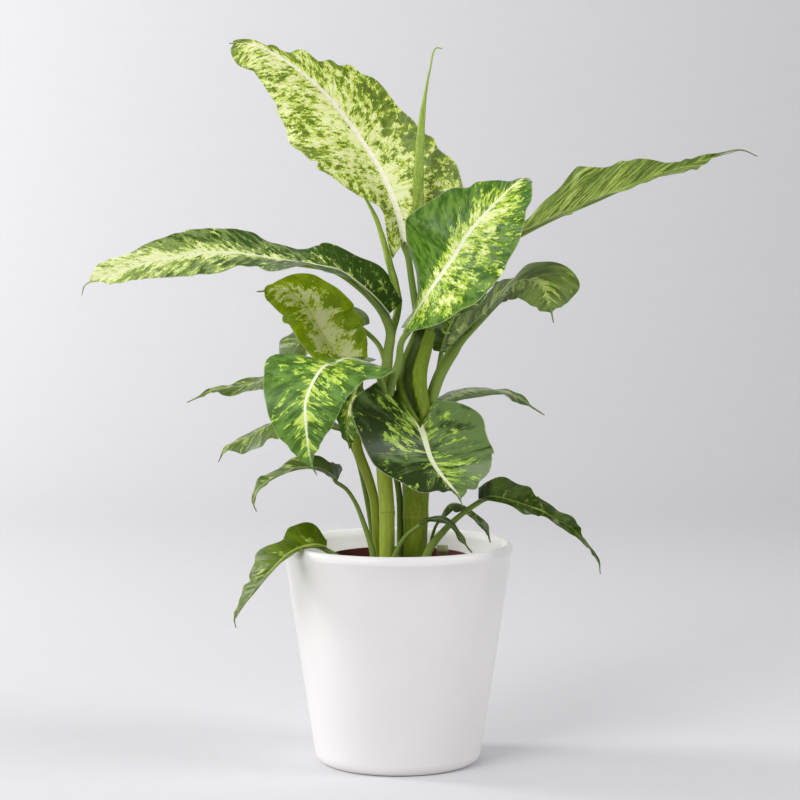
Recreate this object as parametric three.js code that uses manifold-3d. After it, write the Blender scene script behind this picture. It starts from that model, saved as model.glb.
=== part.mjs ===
// Potted dieffenbachia (Dieffenbachia seguine, a bushy variegated cultivar) in a glazed cover pot.
// Millimetres, +Z up, the front of the plant faces -Y. The origin is the centre of the planter's
// flat underside. Each leaf is one grown piece: blade, midrib and leaf stalk.

import * as THREE from 'three';
import { mergeVertices } from 'three/addons/utils/BufferGeometryUtils.js';
import Module from 'manifold-3d';

const wasm = await Module();
wasm.setup();

// ---------------------------------------------------------------- driving dimensions

const GAP = 0.3; // clearance between pieces that touch
const DEGREE = Math.PI / 180;
const TURN = 2 * Math.PI;

const planter = {
  height: 180,
  contactRadius: 60, // flat ring and disc that the planter stands on
  footRadius: 68.2, // wall radius where the side begins
  footHeight: 10,
  shoulderRadius: 92.6, // wall radius where the lip begins
  shoulderHeight: 172,
  lipRadius: 93.4,
  crownInset: 3.7, // from the lip's outside to its highest circle
  wall: 6.2,
  floor: 8,
  innerRound: 7, // between the inside wall and the floor
  segments: 48,
};

const nurseryPot = {
  rimHeight: 168,
  rimRadius: 58,
  rimFlare: 0.6,
  bandHeight: 9, // stiffening band round the rim
  neckRadius: 55.4, // wall radius just under the band
  baseRadius: 43,
  bevel: 2,
  wall: 1.3,
  drainHoles: 4,
  drainHoleRadius: 4.5,
  drainCircle: 28,
  segments: 32,
};

const soil = {
  level: 160,
  mound: 2.5, // rise of the middle over the edge
  crumb: 0.9, // height of the uneven surface
  bevel: 3,
  rings: 4,
  segments: 32,
};

const blade = {
  thickness: 0.8,
  rowLength: 20, // length of midrib that one row of the sheet takes
  rows: [7, 12], // fewest and most rows
  lobeRows: 2, // more rows where the base has lobes
  columns: [-1, -0.52, -0.08, 0, 0.08, 0.52, 1], // share of the vein's length
  tipHalfWidth: 0.5,
  lobeAngle: 115, // a leaf whose first veins lean back further than this has lobes
  ribReach: 0.1, // share of the vein under which the midrib's shoulders lie
  ribShoulder: 0.45, // depth of the shoulders, as a share of the midrib's depth
};

const stem = {
  sides: 7,
  joint: 0.07, // share of the midrib over which the stalk fades into it
  sink: 0.75, // stalk radii that the stalk lies below the blade
};

const roll = {
  sides: 8,
  steps: 16,
  start: 0.25, // share of the length where the free edge begins
  lap: 0.24, // rise of the free edge, as a share of the radius
};

const ringHeight = 0.5; // swelling of a cane at a leaf scar

const colours = {
  glaze: 0xe9e7e6,
  potPlastic: 0x5e1d14,
  soil: 0x2c1d14,
  cane: 0x86983a,
  spear: 0x9db64a,
  leaf: 0x5d9440,
  leafPale: 0xa9c765,
  leafDeep: 0x3f7238,
  cutStem: 0xaeb98a,
};

// ---------------------------------------------------------------- the plant's stems

// Each cane is a smooth run of axis points with a radius at each one. The upper part is the
// column of nested leaf sheaths, a little thicker than the cane below it.
const canes = [
  {
    name: 'cane_right',
    axis: [
      [14, 6, 132], [14, 6, 167], [15, 4, 222], [16, 2, 262], [12.5, 1, 290], [11, 0, 308],
      [12.5, 0, 322], [17.5, 2, 338], [22, 4, 352],
    ],
    radii: [9.6, 9.6, 9.8, 10.4, 12, 13.4, 13.2, 11.4, 8.8],
    rings: [201, 246],
    sides: 14,
    steps: 16,
  },
  {
    name: 'cane_left',
    axis: [
      [-9, -14, 132], [-9, -14, 170], [-9, -13, 208], [-11, -10, 240], [-11, -8, 272],
      [-10, -8, 317],
    ],
    radii: [6.4, 6.3, 6.1, 6.2, 6.6, 6.0],
    rings: [206, 251],
    sides: 12,
    steps: 14,
  },
  {
    name: 'cane_side',
    axis: [
      [-15, 6, 139], [-16, 5, 167], [-18, 2, 198], [-20, 0, 217], [-25, -3, 235],
      [-32, -6, 254], [-35, -6, 272],
    ],
    radii: [3.8, 3.8, 3.7, 3.7, 3.8, 4.2, 3.8],
    rings: [],
    sides: 8,
    steps: 10,
  },
];

const spears = [
  {
    name: 'spear_right',
    cane: 'cane_right',
    axis: [
      [23, 4, 344], [19, 2, 393], [17, 0, 437], [17, 0, 482], [19.3, 0, 524], [25.4, 0, 561],
      [30.4, 0, 579], [35.5, 0, 578.5],
    ],
    radii: [3.2, 3.6, 4, 4.6, 4.1, 2.8, 1, 0.5],
    turns: 1.6,
  },
  {
    name: 'spear_left',
    cane: 'cane_left',
    axis: [
      [-10, -6, 305], [-5, 8, 349], [0, 12, 374], [-7, 12, 407], [-17, 14, 440], [-29, 16, 464],
    ],
    radii: [2.8, 3.0, 3.2, 3.0, 2.2, 0.8],
    turns: 1.2,
  },
];

const stub = {
  foot: [36, 17, 150],
  top: [36.6, 17.4, 175],
  radii: [6.2, 5.7],
  sides: 14,
  steps: 4,
};

// ---------------------------------------------------------------- the leaves

// stalk: points from the root to just below the blade; stalkRadius: root and top.
// rib: points of the midrib from the blade's base to its tip.
// face: directions that the upper side looks in, evenly spread from base to tip.
// half: length of the longest side vein, left and right of the midrib.
// fold: angle that each half rises from the midrib. lobe: share of the width at the base.
// widest: place of the longest vein. veins: their angle to the midrib at base and tip.
// taper: how sharply the blade narrows. tail: share of the drip tip.
// wave: height, count and phase of the margin's waves. scallop: share of in-plane waviness.
// trim: how far each margin swells or draws in, evenly spread from base to tip, left and right.
// skew: angle by which the base veins lean further back on the left and less on the right.
const leaves = [
  {
    name: 'leaf_top',
    tone: 'leafPale',
    stalk: [[22, 4, 335], [16, 7, 362], [11, 8, 393], [8, 8, 412]],
    stalkRadius: [3.4, 2.6],
    rib: [
      [5, 8, 424], [-3.9, 20, 456.5], [-22, 40, 493.6], [-70.5, 60, 555.2],
      [-118.6, 75, 586.3], [-141, 85, 588],
    ],
    face: [[0.3, -0.82, 0.4], [0.2, -0.82, 0.54], [-0.36, -0.93, 0.1], [-0.4, -0.65, -0.4]],
    half: [40, 58],
    fold: 29.2,
    lobe: 0.8,
    widest: 0.21,
    veins: [128, 40],
    taper: 0.5,
    tail: 0.02,
    wave: [3.22, 2.22, 4.56],
    scallop: 0.06,
    trim: [
      [0.88, 0.52, 1.93, 1.63, 1.5, 1.19, 1.32, 1.52, 1.23],
      [1.16, 1.03, 0.86, 0.78, 0.8, 0.57, 0.39, 0.19, 0.53],
    ],
  },
  {
    name: 'leaf_front_upper',
    tone: 'leaf',
    stalk: [[-8, -9, 300], [-4.5, -14, 313], [0.5, -19, 329], [2.5, -24, 344]],
    stalkRadius: [4.2, 2.8],
    rib: [
      [7, -30, 357], [27.4, -44, 389], [44.5, -52, 413.8], [55, -52, 431], [97.7, -46, 473.9],
      [104, -38, 474],
    ],
    face: [[-0.85, -0.05, 0.55], [-0.25, -0.95, 0.1], [-0.45, -0.5, 0.7]],
    half: [59, 36],
    fold: 0.1,
    lobe: 0.45,
    widest: 0.37,
    veins: [132, 40],
    taper: 0.5,
    tail: 0.06,
    wave: [3.23, 2.69, 1.18],
    scallop: 0.02,
    trim: [
      [1.73, 0.9, 0.89, 0.88, 0.81, 0.67, 0.55, 0.45, 0.2],
      [0.36, 1.04, 1.16, 1.17, 1.26, 1.28, 1.34, 0.99, 0.49],
    ],
    skew: -15.1,
  },
  {
    name: 'leaf_long_left',
    tone: 'leafPale',
    stalk: [[-10, -8, 309], [-8, -6, 333], [-6, -5, 351]],
    stalkRadius: [5.0, 4.0],
    rib: [
      [-7, -8, 366], [-19.3, -14, 380.4], [-45, -22, 400.6], [-57.5, -32, 404.6],
      [-94, -42, 410.8], [-139.9, -50, 416.3], [-189, -56, 410.4], [-220, -58, 400.4],
      [-245.5, -56, 391], [-249, -52, 383],
    ],
    face: [[0.8, -0.4, 0.45], [0.3, -0.15, 0.95], [0.05, -0.85, 0.55], [-0.35, -0.95, 0.05]],
    half: [39, 34],
    fold: 13.9,
    lobe: 0.72,
    widest: 0.31,
    veins: [102, 30],
    taper: 0.55,
    tail: 0.06,
    wave: [2.52, 2.57, 4.89],
    scallop: 0,
    trim: [
      [0.37, 0.71, 0.47, 1.06, 1.31, 0.94, 1.11, 0.98, 0.91, 0.87, 0.9, 0.57, 0.65],
      [0.96, 1.24, 0.85, 0.77, 0.8, 1.01, 0.9, 0.93, 0.98, 1.01, 1.39, 1.14, 1.2],
    ],
  },
  {
    name: 'leaf_mid_left',
    tone: 'leafPale',
    stalk: [[-36, -4, 267], [-33, 6, 292], [-31, 12, 310]],
    stalkRadius: [3.0, 2.6],
    rib: [
      [-33, 19, 324], [-48.9, 20, 331.6], [-64.7, 16, 354], [-73.7, 8, 371.8],
      [-91.1, -2, 385.3], [-113.3, -10, 384],
    ],
    face: [[0.55, -0.75, 0.35], [0.45, -0.9, -0.05], [0.05, -0.95, -0.35]],
    half: [34, 35],
    fold: 35.6,
    lobe: 0.3,
    widest: 0.35,
    veins: [111, 42],
    taper: 0.7,
    tail: 0.06,
    wave: [2.24, 3.18, -0.57],
    scallop: 0.05,
    trim: [
      [0.95, 1.02, 1.13, 1.09, 1.05, 1.13, 1.15, 1.13, 1.57],
      [1.01, 1.33, 1.06, 0.99, 1.03, 1.04, 0.9, 0.8, 1.15],
    ],
    skew: -7.6,
  },
  {
    name: 'leaf_front_left',
    tone: 'leafDeep',
    stalk: [[-10, -9, 298], [-13, -15, 311], [-18, -20, 321]],
    stalkRadius: [3.6, 2.8],
    rib: [
      [-24, -24, 328], [-39.8, -38, 332.3], [-49.6, -50, 329.3], [-59.4, -60, 325.8],
      [-71.7, -68, 302.4], [-72.1, -72, 283.2], [-67.5, -70, 249.9], [-64, -66, 242],
    ],
    face: [[-0.1, -0.35, 0.95], [-0.5, -0.75, 0.45], [-0.2, -0.95, -0.1]],
    half: [36, 44],
    fold: -0.2,
    lobe: 0.62,
    widest: 0.36,
    veins: [138, 43],
    taper: 0.95,
    tail: 0.06,
    wave: [1.5, 2.2, 2],
    scallop: 0.03,
    trim: [
      [0.97, 1.17, 1.6, 1.12, 1.08, 0.93, 0.81, 0.56, 0.45],
      [1.54, 0.14, 0.34, 1.19, 0.95, 0.91, 0.9, 0.83, 1.08],
    ],
  },
  {
    name: 'leaf_front_lower',
    tone: 'leafDeep',
    stalk: [[15, 4, 222], [15, -12, 242], [17, -22, 260]],
    stalkRadius: [3.8, 2.8],
    rib: [
      [18, -25, 275], [20, -30, 270.3], [26.1, -38, 251.7], [34.3, -48, 239.6],
      [47.6, -56, 224.4], [51, -62, 216],
    ],
    face: [[0.4, -0.68, 0.6], [0.32, -0.68, 0.66], [0.6, -0.5, 0.55]],
    half: [54, 66],
    fold: 7.9,
    lobe: 0.62,
    widest: 0.22,
    veins: [156, 42],
    taper: 1.35,
    tail: 0.06,
    wave: [2.5, 2.4, 0.6],
    scallop: 0.02,
    trim: [
      [1.08, 1.25, 1.03, 1.06, 1.28, 1.02, 0.76, 0.66, 0.67],
      [1.2, 1.01, 1.01, 0.96, 0.8, 0.49, 0.19, 0.88, 1.46],
    ],
    skew: -9.9,
  },
  {
    name: 'leaf_long_right',
    tone: 'leaf',
    stalk: [[24, 4, 346], [34, 16, 379], [54, 28, 404], [76, 36, 418]],
    stalkRadius: [3.6, 2.8],
    rib: [
      [90, 40, 426], [110, 46, 435.1], [130.6, 58, 444.3], [161.4, 68, 456.4],
      [204.5, 78, 474], [245, 82, 486.9], [286, 82, 499.2], [300, 78, 494],
    ],
    face: [[-0.15, -0.55, 0.85], [-0.2, -0.55, 0.85], [-0.05, -0.85, 0.5]],
    half: [34, 40],
    fold: 32.2,
    lobe: 0.05,
    widest: 0.28,
    veins: [55, 50],
    taper: 1.8,
    tail: 0.06,
    wave: [2.38, 3.67, 0.4],
    scallop: 0.07,
    trim: [
      [0.7, 0.76, 0.79, 1.11, 1.11, 0.97, 0.95, 0.78, 0.77, 0.68, 0.72, 0.86, 1],
      [2.12, 1.3, 0.66, 0.4, 0.38, 0.26, 0.65, 1.47, 1.5, 1.23, 1.28, 1.2, 1.09],
    ],
  },
  {
    name: 'leaf_mid_right',
    tone: 'leaf',
    stalk: [[17.5, 6, 266], [25, 8.5, 290], [34, 9, 316]],
    stalkRadius: [5.4, 5],
    rib: [
      [43, 6, 341], [64.9, 2, 362.1], [80.6, -6, 378.3], [98, -18, 393.3], [113.6, -32, 390.3],
      [120.7, -42, 372], [123, -46, 361],
    ],
    face: [[-0.8, -0.4, 0.4], [-0.55, -0.2, 0.8], [0.55, -0.8, 0.25]],
    half: [35, 35],
    fold: -0.9,
    lobe: 0.3,
    widest: 0.58,
    veins: [94, 45],
    taper: 1.05,
    tail: 0.06,
    wave: [0.96, 2.74, 2.11],
    scallop: 0.06,
    trim: [
      [0.86, 1.59, 0.95, 1.21, 0.96, 0.89, 1.1, 1.05, 0.99, 0.86, 0.87],
      [0.51, 0.23, 0.23, 0.42, 1.02, 0.83, 0.89, 0.95, 0.99, 1.1, 1.04],
    ],
  },
  {
    name: 'leaf_small_right',
    tone: 'leafDeep',
    stalk: [[21, 8, 256], [25, 16, 270], [31, 25, 284]],
    stalkRadius: [2.6, 2.0],
    rib: [
      [35, 30, 292], [55, 44, 299], [77, 58, 300], [98, 68, 294], [113, 74, 284],
      [123, 76, 277],
    ],
    face: [[-0.15, -0.25, 0.95], [0.15, 0, 1], [0.55, -0.6, 0.6]],
    half: [23, 20],
    fold: -6,
    lobe: 0.4,
    widest: 0.37,
    veins: [94, 38],
    taper: 1.2,
    tail: 0.06,
    wave: [1, 2.9, 0.23],
    scallop: 0.03,
  },
  {
    name: 'leaf_low_right',
    tone: 'leafDeep',
    stalk: [[19, -9, 151], [25, -9, 174], [38, -9, 191], [52, -10, 204]],
    stalkRadius: [4.2, 2.2],
    rib: [
      [65, -12, 216], [77.8, -26, 220], [113.7, -42, 211], [122, -54, 207.5],
      [140.3, -60, 196.4], [157.8, -62, 173.9], [160, -62, 163],
    ],
    face: [[-0.6, -0.4, 0.7], [-0.5, -0.85, 0], [0.9, -0.35, 0.3]],
    half: [13, 17],
    fold: 35.2,
    lobe: 0.8,
    widest: 0.29,
    veins: [85, 32],
    taper: 1.25,
    tail: 0.06,
    wave: [1.68, 3.76, -2.94],
    scallop: 0.07,
    trim: [
      [0.86, 1.13, 1.45, 1.51, 1.35, 1.52, 1.19, 1.52, 1.13, 0.5, 0.99, 1.05, 1.04],
      [0.09, 0.49, 0.5, 0.46, 0.59, 0.42, 0.28, 0.63, 1.05, 1.73, 1.51, 1.17, 0.94],
    ],
  },
  {
    name: 'leaf_over_rim',
    tone: 'leaf',
    stalk: [[-28, -18, 154], [-38, -27, 164], [-46.5, -33.5, 171.4]],
    stalkRadius: [2.8, 2.2],
    rib: [
      [-57, -40, 181], [-66.8, -46, 184], [-84.8, -54, 179.3], [-102.5, -62, 163.5],
      [-110.6, -66, 153.6], [-128.7, -68, 128], [-128, -68, 121],
    ],
    face: [[0.3, -0.45, 0.85], [-0.65, -0.25, 0.7], [-0.95, -0.1, 0.25]],
    half: [24, 22],
    fold: 16.5,
    lobe: 0.25,
    widest: 0.4,
    veins: [103, 40],
    taper: 1.1,
    tail: 0.06,
    wave: [1.54, 3.67, 5.31],
    scallop: 0,
    trim: [
      [0.26, 0.59, 0.02, 0.43, 1.07, 1.49, 1.3, 0.48, 0.39, 1.37, 1.06, 0.63, 0.71],
      [1.28, 1.87, 1.46, 0.91, 1.39, 1.11, 1.13, 1.1, 1.03, 1.31, 1.67, 1.4, 1.06],
    ],
  },
  {
    name: 'leaf_low_left',
    tone: 'leaf',
    stalk: [[-18, -12, 152], [-21, -12, 175], [-28, -10, 197], [-34, -9, 212], [-42, -8, 224]],
    stalkRadius: [3.0, 1.7],
    rib: [
      [-49, -8, 231], [-53, -16, 236.7], [-65.1, -24, 243.5], [-82.3, -32, 243.3],
      [-93.1, -38, 239.5], [-110.2, -42, 229.3], [-115, -42, 216.3], [-113, -40, 210],
    ],
    face: [[0.7, -0.45, 0.55], [-0.3, -0.05, 0.95], [-0.85, -0.35, -0.35]],
    half: [17, 22],
    fold: 8.3,
    lobe: 0.45,
    widest: 0.32,
    veins: [124, 41],
    taper: 0.75,
    tail: 0.06,
    wave: [0.62, 3.48, -0.51],
    scallop: 0.07,
    trim: [
      [0.02, 0.22, 0.59, 0.97, 1.2, 1.17, 0.97, 0.98, 0.91, 0.83, 0.91, 1.03, 1.06],
      [2.16, 1, 0.7, 0.78, 0.97, 0.9, 0.8, 1.06, 0.83, 0.87, 0.98, 0.96, 0.98],
    ],
  },
  {
    name: 'leaf_thin_left',
    tone: 'leafDeep',
    stalk: [[2, 10, 153], [2, 9.5, 188], [0.5, 9.5, 221], [-7, 12, 252], [-24, 19, 292]],
    stalkRadius: [3.2, 2],
    rib: [
      [-44, 26, 312], [-73, 42, 316], [-102, 54, 311], [-128, 64, 303], [-154, 70, 299],
      [-177, 72, 288],
    ],
    face: [[-0.05, -0.3, 0.95], [-0.4, -0.2, 0.9], [-0.45, -0.4, 0.8]],
    half: [25, 19],
    fold: -2,
    lobe: 0.3,
    widest: 0.35,
    veins: [92, 41],
    taper: 1.05,
    tail: 0.06,
    wave: [1.54, 3.49, 1.61],
    scallop: 0.05,
  },
  {
    name: 'leaf_lower_left',
    tone: 'leafDeep',
    stalk: [[-20, 18, 152], [-21, 15, 182], [-27, 12, 221], [-35, 9, 252]],
    stalkRadius: [2.4, 2.0],
    rib: [
      [-45, 6, 273], [-60, 14, 281], [-80, 22, 283], [-99, 30, 276], [-124, 38, 262],
      [-143, 42, 252], [-149, 42, 241],
    ],
    face: [[0.45, -0.1, 0.9], [-0.45, -0.2, 0.85], [-0.7, -0.55, 0.4]],
    half: [24, 23],
    fold: -19,
    lobe: 0.3,
    widest: 0.39,
    veins: [113, 39],
    taper: 0.85,
    tail: 0.06,
    wave: [1.54, 2.95, 3.24],
    scallop: 0.07,
  },
  {
    name: 'leaf_back_left',
    tone: 'leafDeep',
    stalk: [[-7, 0, 296], [-9, 10, 318], [-16, 26, 339]],
    stalkRadius: [2.6, 2.0],
    rib: [[-30, 36, 354], [-44, 50, 360], [-63, 62, 355], [-86, 70, 338], [-102, 74, 323]],
    face: [[0, -0.4, 0.9], [-0.2, -0.5, 0.8], [-0.5, -0.5, 0.6]],
    half: [28, 28],
    fold: 0,
    lobe: 0.3,
    widest: 0.5,
    veins: [95, 40],
    taper: 0.7,
    tail: 0.06,
    wave: [2, 3, 0],
    scallop: 0.04,
  },
  {
    name: 'leaf_behind_fork',
    tone: 'leafDeep',
    stalk: [[-35, -6, 267], [-30, 0, 288], [-29, -5, 301]],
    stalkRadius: [2.2, 1.8],
    rib: [[-32, -12, 308], [-37, -16, 299], [-41, -20, 285], [-41, -20, 272], [-39, -18, 258]],
    face: [[-0.75, -0.35, 0.55], [-0.65, -0.75, 0.15], [-0.1, -1, -0.15]],
    half: [17, 10],
    fold: 22,
    lobe: 0.25,
    widest: 0.39,
    veins: [90, 37],
    taper: 0.95,
    tail: 0.06,
    wave: [0.98, 3.44, -1.42],
    scallop: 0.06,
  },
  {
    name: 'leaf_back_right',
    tone: 'leafDeep',
    stalk: [[22, 12, 280], [28, 20, 298], [33, 28, 318]],
    stalkRadius: [2.6, 2.0],
    rib: [[35, 34, 333], [43, 44, 354], [56, 52, 375], [71, 56, 386], [87, 58, 390]],
    face: [[-0.3, -0.8, 0.5], [-0.1, -0.7, 0.7], [0.3, -0.6, 0.7]],
    half: [20, 20],
    fold: 10,
    lobe: 0.3,
    widest: 0.38,
    veins: [95, 40],
    taper: 1,
    tail: 0.06,
    wave: [2, 3, 0],
    scallop: 0.04,
  },
  {
    name: 'leaf_basal_front',
    tone: 'leafDeep',
    stalk: [[-7, -18, 151], [-2, -19, 173], [6, -21, 187]],
    stalkRadius: [3.4, 1.8],
    rib: [
      [17, -26, 199], [27, -32, 203], [38, -36, 202], [48, -40, 193], [54, -42, 183],
      [59, -42, 177],
    ],
    face: [[-0.45, -0.15, 0.85], [0.5, -0.35, 0.8], [0.6, -0.6, 0.5]],
    half: [7, 7],
    fold: -2,
    lobe: 0.35,
    widest: 0.4,
    veins: [95, 42],
    taper: 1,
    tail: 0.06,
    wave: [0.56, 2.79, 4.84],
    scallop: 0.05,
  },
  {
    name: 'leaf_basal_back',
    tone: 'leafDeep',
    stalk: [[24, 22, 155], [27, 18, 177], [31, 9, 192]],
    stalkRadius: [1.9, 1.3],
    rib: [[35, 0, 201], [42, 2, 210], [52, 2, 210], [62, 0, 204], [71, -2, 195], [75, -4, 180]],
    face: [[-0.75, -0.2, 0.6], [0.6, -0.1, 0.8], [0.6, -0.75, 0.25]],
    half: [11, 12],
    fold: -19,
    lobe: 0.4,
    widest: 0.36,
    veins: [98, 40],
    taper: 1,
    tail: 0.06,
    wave: [0.27, 2.97, 2.92],
    scallop: 0.05,
  },
];

// ---------------------------------------------------------------- helpers

const clamp = THREE.MathUtils.clamp;
const vector = (xyz) => new THREE.Vector3(...xyz);
const smooth = (points) => new THREE.CatmullRomCurve3(points.map(vector), false, 'centripetal');

// A value that runs evenly through a list as share goes from 0 to 1.
function along(list, share) {
  const place = clamp(share, 0, 1) * (list.length - 1);
  const index = Math.min(Math.floor(place), list.length - 2);
  return THREE.MathUtils.lerp(list[index], list[index + 1], place - index);
}

// Closed geometry to a solid, with its shared vertices merged.
function toSolid(geometry) {
  const bare = geometry.clone();
  bare.deleteAttribute('normal');
  bare.deleteAttribute('uv');
  const merged = mergeVertices(bare, 1e-4);
  return new wasm.Manifold(
    new wasm.Mesh({
      numProp: 3,
      vertProperties: merged.attributes.position.array,
      triVerts: new Uint32Array(merged.index.array),
    }),
  );
}

// The largest body of a solid back to a geometry; loose scraps of a cut are dropped.
function toGeometry(solid) {
  const bodies = solid.decompose().sort((a, b) => b.volume() - a.volume());
  const mesh = bodies[0].getMesh();
  const geometry = new THREE.BufferGeometry();
  const stride = mesh.numProp;
  const positions = new Float32Array((mesh.vertProperties.length / stride) * 3);
  for (let i = 0; i < positions.length / 3; i += 1) {
    positions.set(mesh.vertProperties.subarray(i * stride, i * stride + 3), i * 3);
  }
  geometry.setAttribute('position', new THREE.BufferAttribute(positions, 3));
  geometry.setIndex(new THREE.BufferAttribute(new Uint32Array(mesh.triVerts), 1));
  return geometry;
}

// Direction frames carried along a curve without twist.
function carriedFrames(curve, steps) {
  const frames = [];
  let across = new THREE.Vector3(1, 0, 0);
  for (let i = 0; i <= steps; i += 1) {
    const tangent = curve.getTangentAt(i / steps);
    across = across.clone().addScaledVector(tangent, -across.dot(tangent)).normalize();
    const up = new THREE.Vector3().crossVectors(across, tangent);
    frames.push({ centre: curve.getPointAt(i / steps), tangent, across, up });
  }
  return frames;
}

// A closed tube along a curve. radiusAt(share, angle) gives its radius; extend lengthens its ends.
function tube(curve, { sides, steps, radiusAt, extend = 0 }) {
  const frames = carriedFrames(curve, steps);
  const geometry = new THREE.CylinderGeometry(1, 1, 1, sides, steps);
  const position = geometry.attributes.position;
  for (let i = 0; i < position.count; i += 1) {
    const step = Math.round((position.getY(i) + 0.5) * steps);
    const frame = frames[step];
    const x = position.getX(i);
    const z = position.getZ(i);
    const radius = radiusAt(step / steps, Math.atan2(z, x));
    const place = frame.centre
      .clone()
      .addScaledVector(frame.across, x * radius)
      .addScaledVector(frame.up, z * radius);
    if (step === 0) {
      place.addScaledVector(frame.tangent, -extend);
    } else if (step === steps) {
      place.addScaledVector(frame.tangent, extend);
    }
    position.setXYZ(i, place.x, place.y, place.z);
  }
  return geometry;
}

// ---------------------------------------------------------------- pots and soil

function lathe(profile, segments) {
  const points = profile.map(([radius, height]) => new THREE.Vector2(radius, height));
  const geometry = new THREE.LatheGeometry(points, segments);
  return geometry.rotateX(Math.PI / 2);
}

// Points on a quarter or half round between two angles, for a lathe profile.
function roundPoints(centre, radii, fromDegrees, toDegrees, steps) {
  return Array.from({ length: steps + 1 }, (_, i) => {
    const angle = DEGREE * THREE.MathUtils.lerp(fromDegrees, toDegrees, i / steps);
    return [centre[0] + radii[0] * Math.cos(angle), centre[1] + radii[1] * Math.sin(angle)];
  });
}

function planterGeometry() {
  const p = planter;
  const crownRadius = p.lipRadius - p.crownInset;
  const innerShoulder = p.shoulderRadius - p.wall - 1;
  const innerFoot = p.footRadius - p.wall - p.innerRound;
  const foot = [p.contactRadius, p.footHeight];
  const crown = [crownRadius, p.shoulderHeight + 1];
  const crownRise = p.height - p.shoulderHeight - 1;
  return lathe(
    [
      [0, 0],
      ...roundPoints(foot, [p.footRadius - p.contactRadius, p.footHeight], -90, 0, 4),
      [p.shoulderRadius, p.shoulderHeight],
      ...roundPoints(crown, [p.lipRadius - crownRadius, crownRise], 0, 90, 3),
      ...roundPoints(crown, [crownRadius - innerShoulder, crownRise], 90, 180, 3),
      [innerShoulder, p.shoulderHeight],
      ...roundPoints([innerFoot, p.floor + p.innerRound], [p.innerRound, p.innerRound], 0, -90, 2),
      [0, p.floor],
    ],
    p.segments,
  );
}

const nurseryBase = planter.floor + GAP;
const bandBottom = nurseryPot.rimHeight - nurseryPot.bandHeight;

function nurseryPotGeometry() {
  const n = nurseryPot;
  const outline = lathe(
    [
      [0, nurseryBase],
      [n.baseRadius - n.bevel, nurseryBase],
      [n.baseRadius, nurseryBase + n.bevel],
      [n.neckRadius, bandBottom],
      [n.rimRadius, bandBottom + n.rimFlare],
      [n.rimRadius + n.rimFlare, n.rimHeight - n.rimFlare],
      [n.rimRadius, n.rimHeight],
      [n.rimRadius - n.wall, n.rimHeight],
      [n.rimRadius - n.wall, bandBottom + n.wall + n.rimFlare],
      [n.neckRadius - n.wall, bandBottom],
      [n.baseRadius - n.wall, nurseryBase + n.wall + n.bevel],
      [n.baseRadius - n.wall - n.bevel, nurseryBase + n.wall],
      [0, nurseryBase + n.wall],
    ],
    n.segments,
  );
  let pot = toSolid(outline);
  for (let i = 0; i < n.drainHoles; i += 1) {
    const angle = (TURN * (i + 0.5)) / n.drainHoles;
    const hole = new THREE.CylinderGeometry(n.drainHoleRadius, n.drainHoleRadius, 4 * n.wall, 12);
    hole.rotateX(Math.PI / 2);
    hole.translate(n.drainCircle * Math.cos(angle), n.drainCircle * Math.sin(angle), nurseryBase);
    pot = pot.subtract(toSolid(hole));
  }
  return toGeometry(pot);
}

// Height of the soil's crumbly top at a place.
function soilTop(x, y) {
  const share = Math.hypot(x, y) / nurseryPot.neckRadius;
  const fine = Math.sin(x * 0.31 + 0.7) * Math.cos(y * 0.27);
  const coarse = Math.sin(x * 0.13 - y * 0.41);
  const crumbs = soil.crumb * (fine + 0.6 * coarse) * (1 - share ** 4);
  return soil.level + soil.mound * (1 - share * share) + crumbs;
}

function soilSolid() {
  const clearance = nurseryPot.wall + 2 * GAP;
  const bottom = nurseryBase + nurseryPot.wall + GAP;
  const bottomRadius = nurseryPot.baseRadius - clearance;
  const topRadius = nurseryPot.neckRadius - clearance;
  const rings = Array.from({ length: soil.rings }, (_, i) => {
    return [topRadius * (1 - (i + 1) / soil.rings), bandBottom];
  });
  const geometry = lathe(
    [
      [0, bottom],
      [bottomRadius - soil.bevel, bottom],
      [bottomRadius, bottom + soil.bevel],
      [topRadius, bandBottom - 1],
      ...rings,
    ],
    soil.segments,
  );
  const position = geometry.attributes.position;
  for (let i = 0; i < position.count; i += 1) {
    if (Math.abs(position.getZ(i) - bandBottom) < 0.01) {
      position.setZ(i, soilTop(position.getX(i), position.getY(i)));
    }
  }
  return toSolid(geometry);
}

// ---------------------------------------------------------------- canes and spears

// Cane or sheath column, grown by a margin where it is used to cut its neighbours.
function caneSolid(cane, margin = 0) {
  const curve = smooth(cane.axis);
  const ringAt = (height) => {
    return cane.rings.reduce((sum, level) => sum + Math.exp(-(((height - level) / 4) ** 2)), 0);
  };
  const geometry = tube(curve, {
    sides: cane.sides,
    steps: cane.steps,
    extend: margin,
    radiusAt: (share) => {
      const swelling = ringHeight * ringAt(curve.getPointAt(share).z);
      return along(cane.radii, share) + swelling + margin;
    },
  });
  return toSolid(geometry);
}

// A young leaf still rolled up: a tapered roll with its free edge lapping round it.
function spearSolid(spear, margin = 0) {
  const geometry = tube(smooth(spear.axis), {
    sides: roll.sides,
    steps: roll.steps,
    extend: margin,
    radiusAt: (share, angle) => {
      const turn = (angle / TURN + 1 + spear.turns * share) % 1;
      const lap = share < roll.start ? 0 : roll.lap * (turn - 0.5);
      return along(spear.radii, share) * (1 + lap) + margin;
    },
  });
  return toSolid(geometry);
}

function stubSolid(margin = 0) {
  const geometry = tube(smooth([stub.foot, stub.top]), {
    sides: stub.sides,
    steps: stub.steps,
    extend: margin,
    radiusAt: (share) => along(stub.radii, share) + margin,
  });
  return toSolid(geometry);
}

// ---------------------------------------------------------------- leaves

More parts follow.
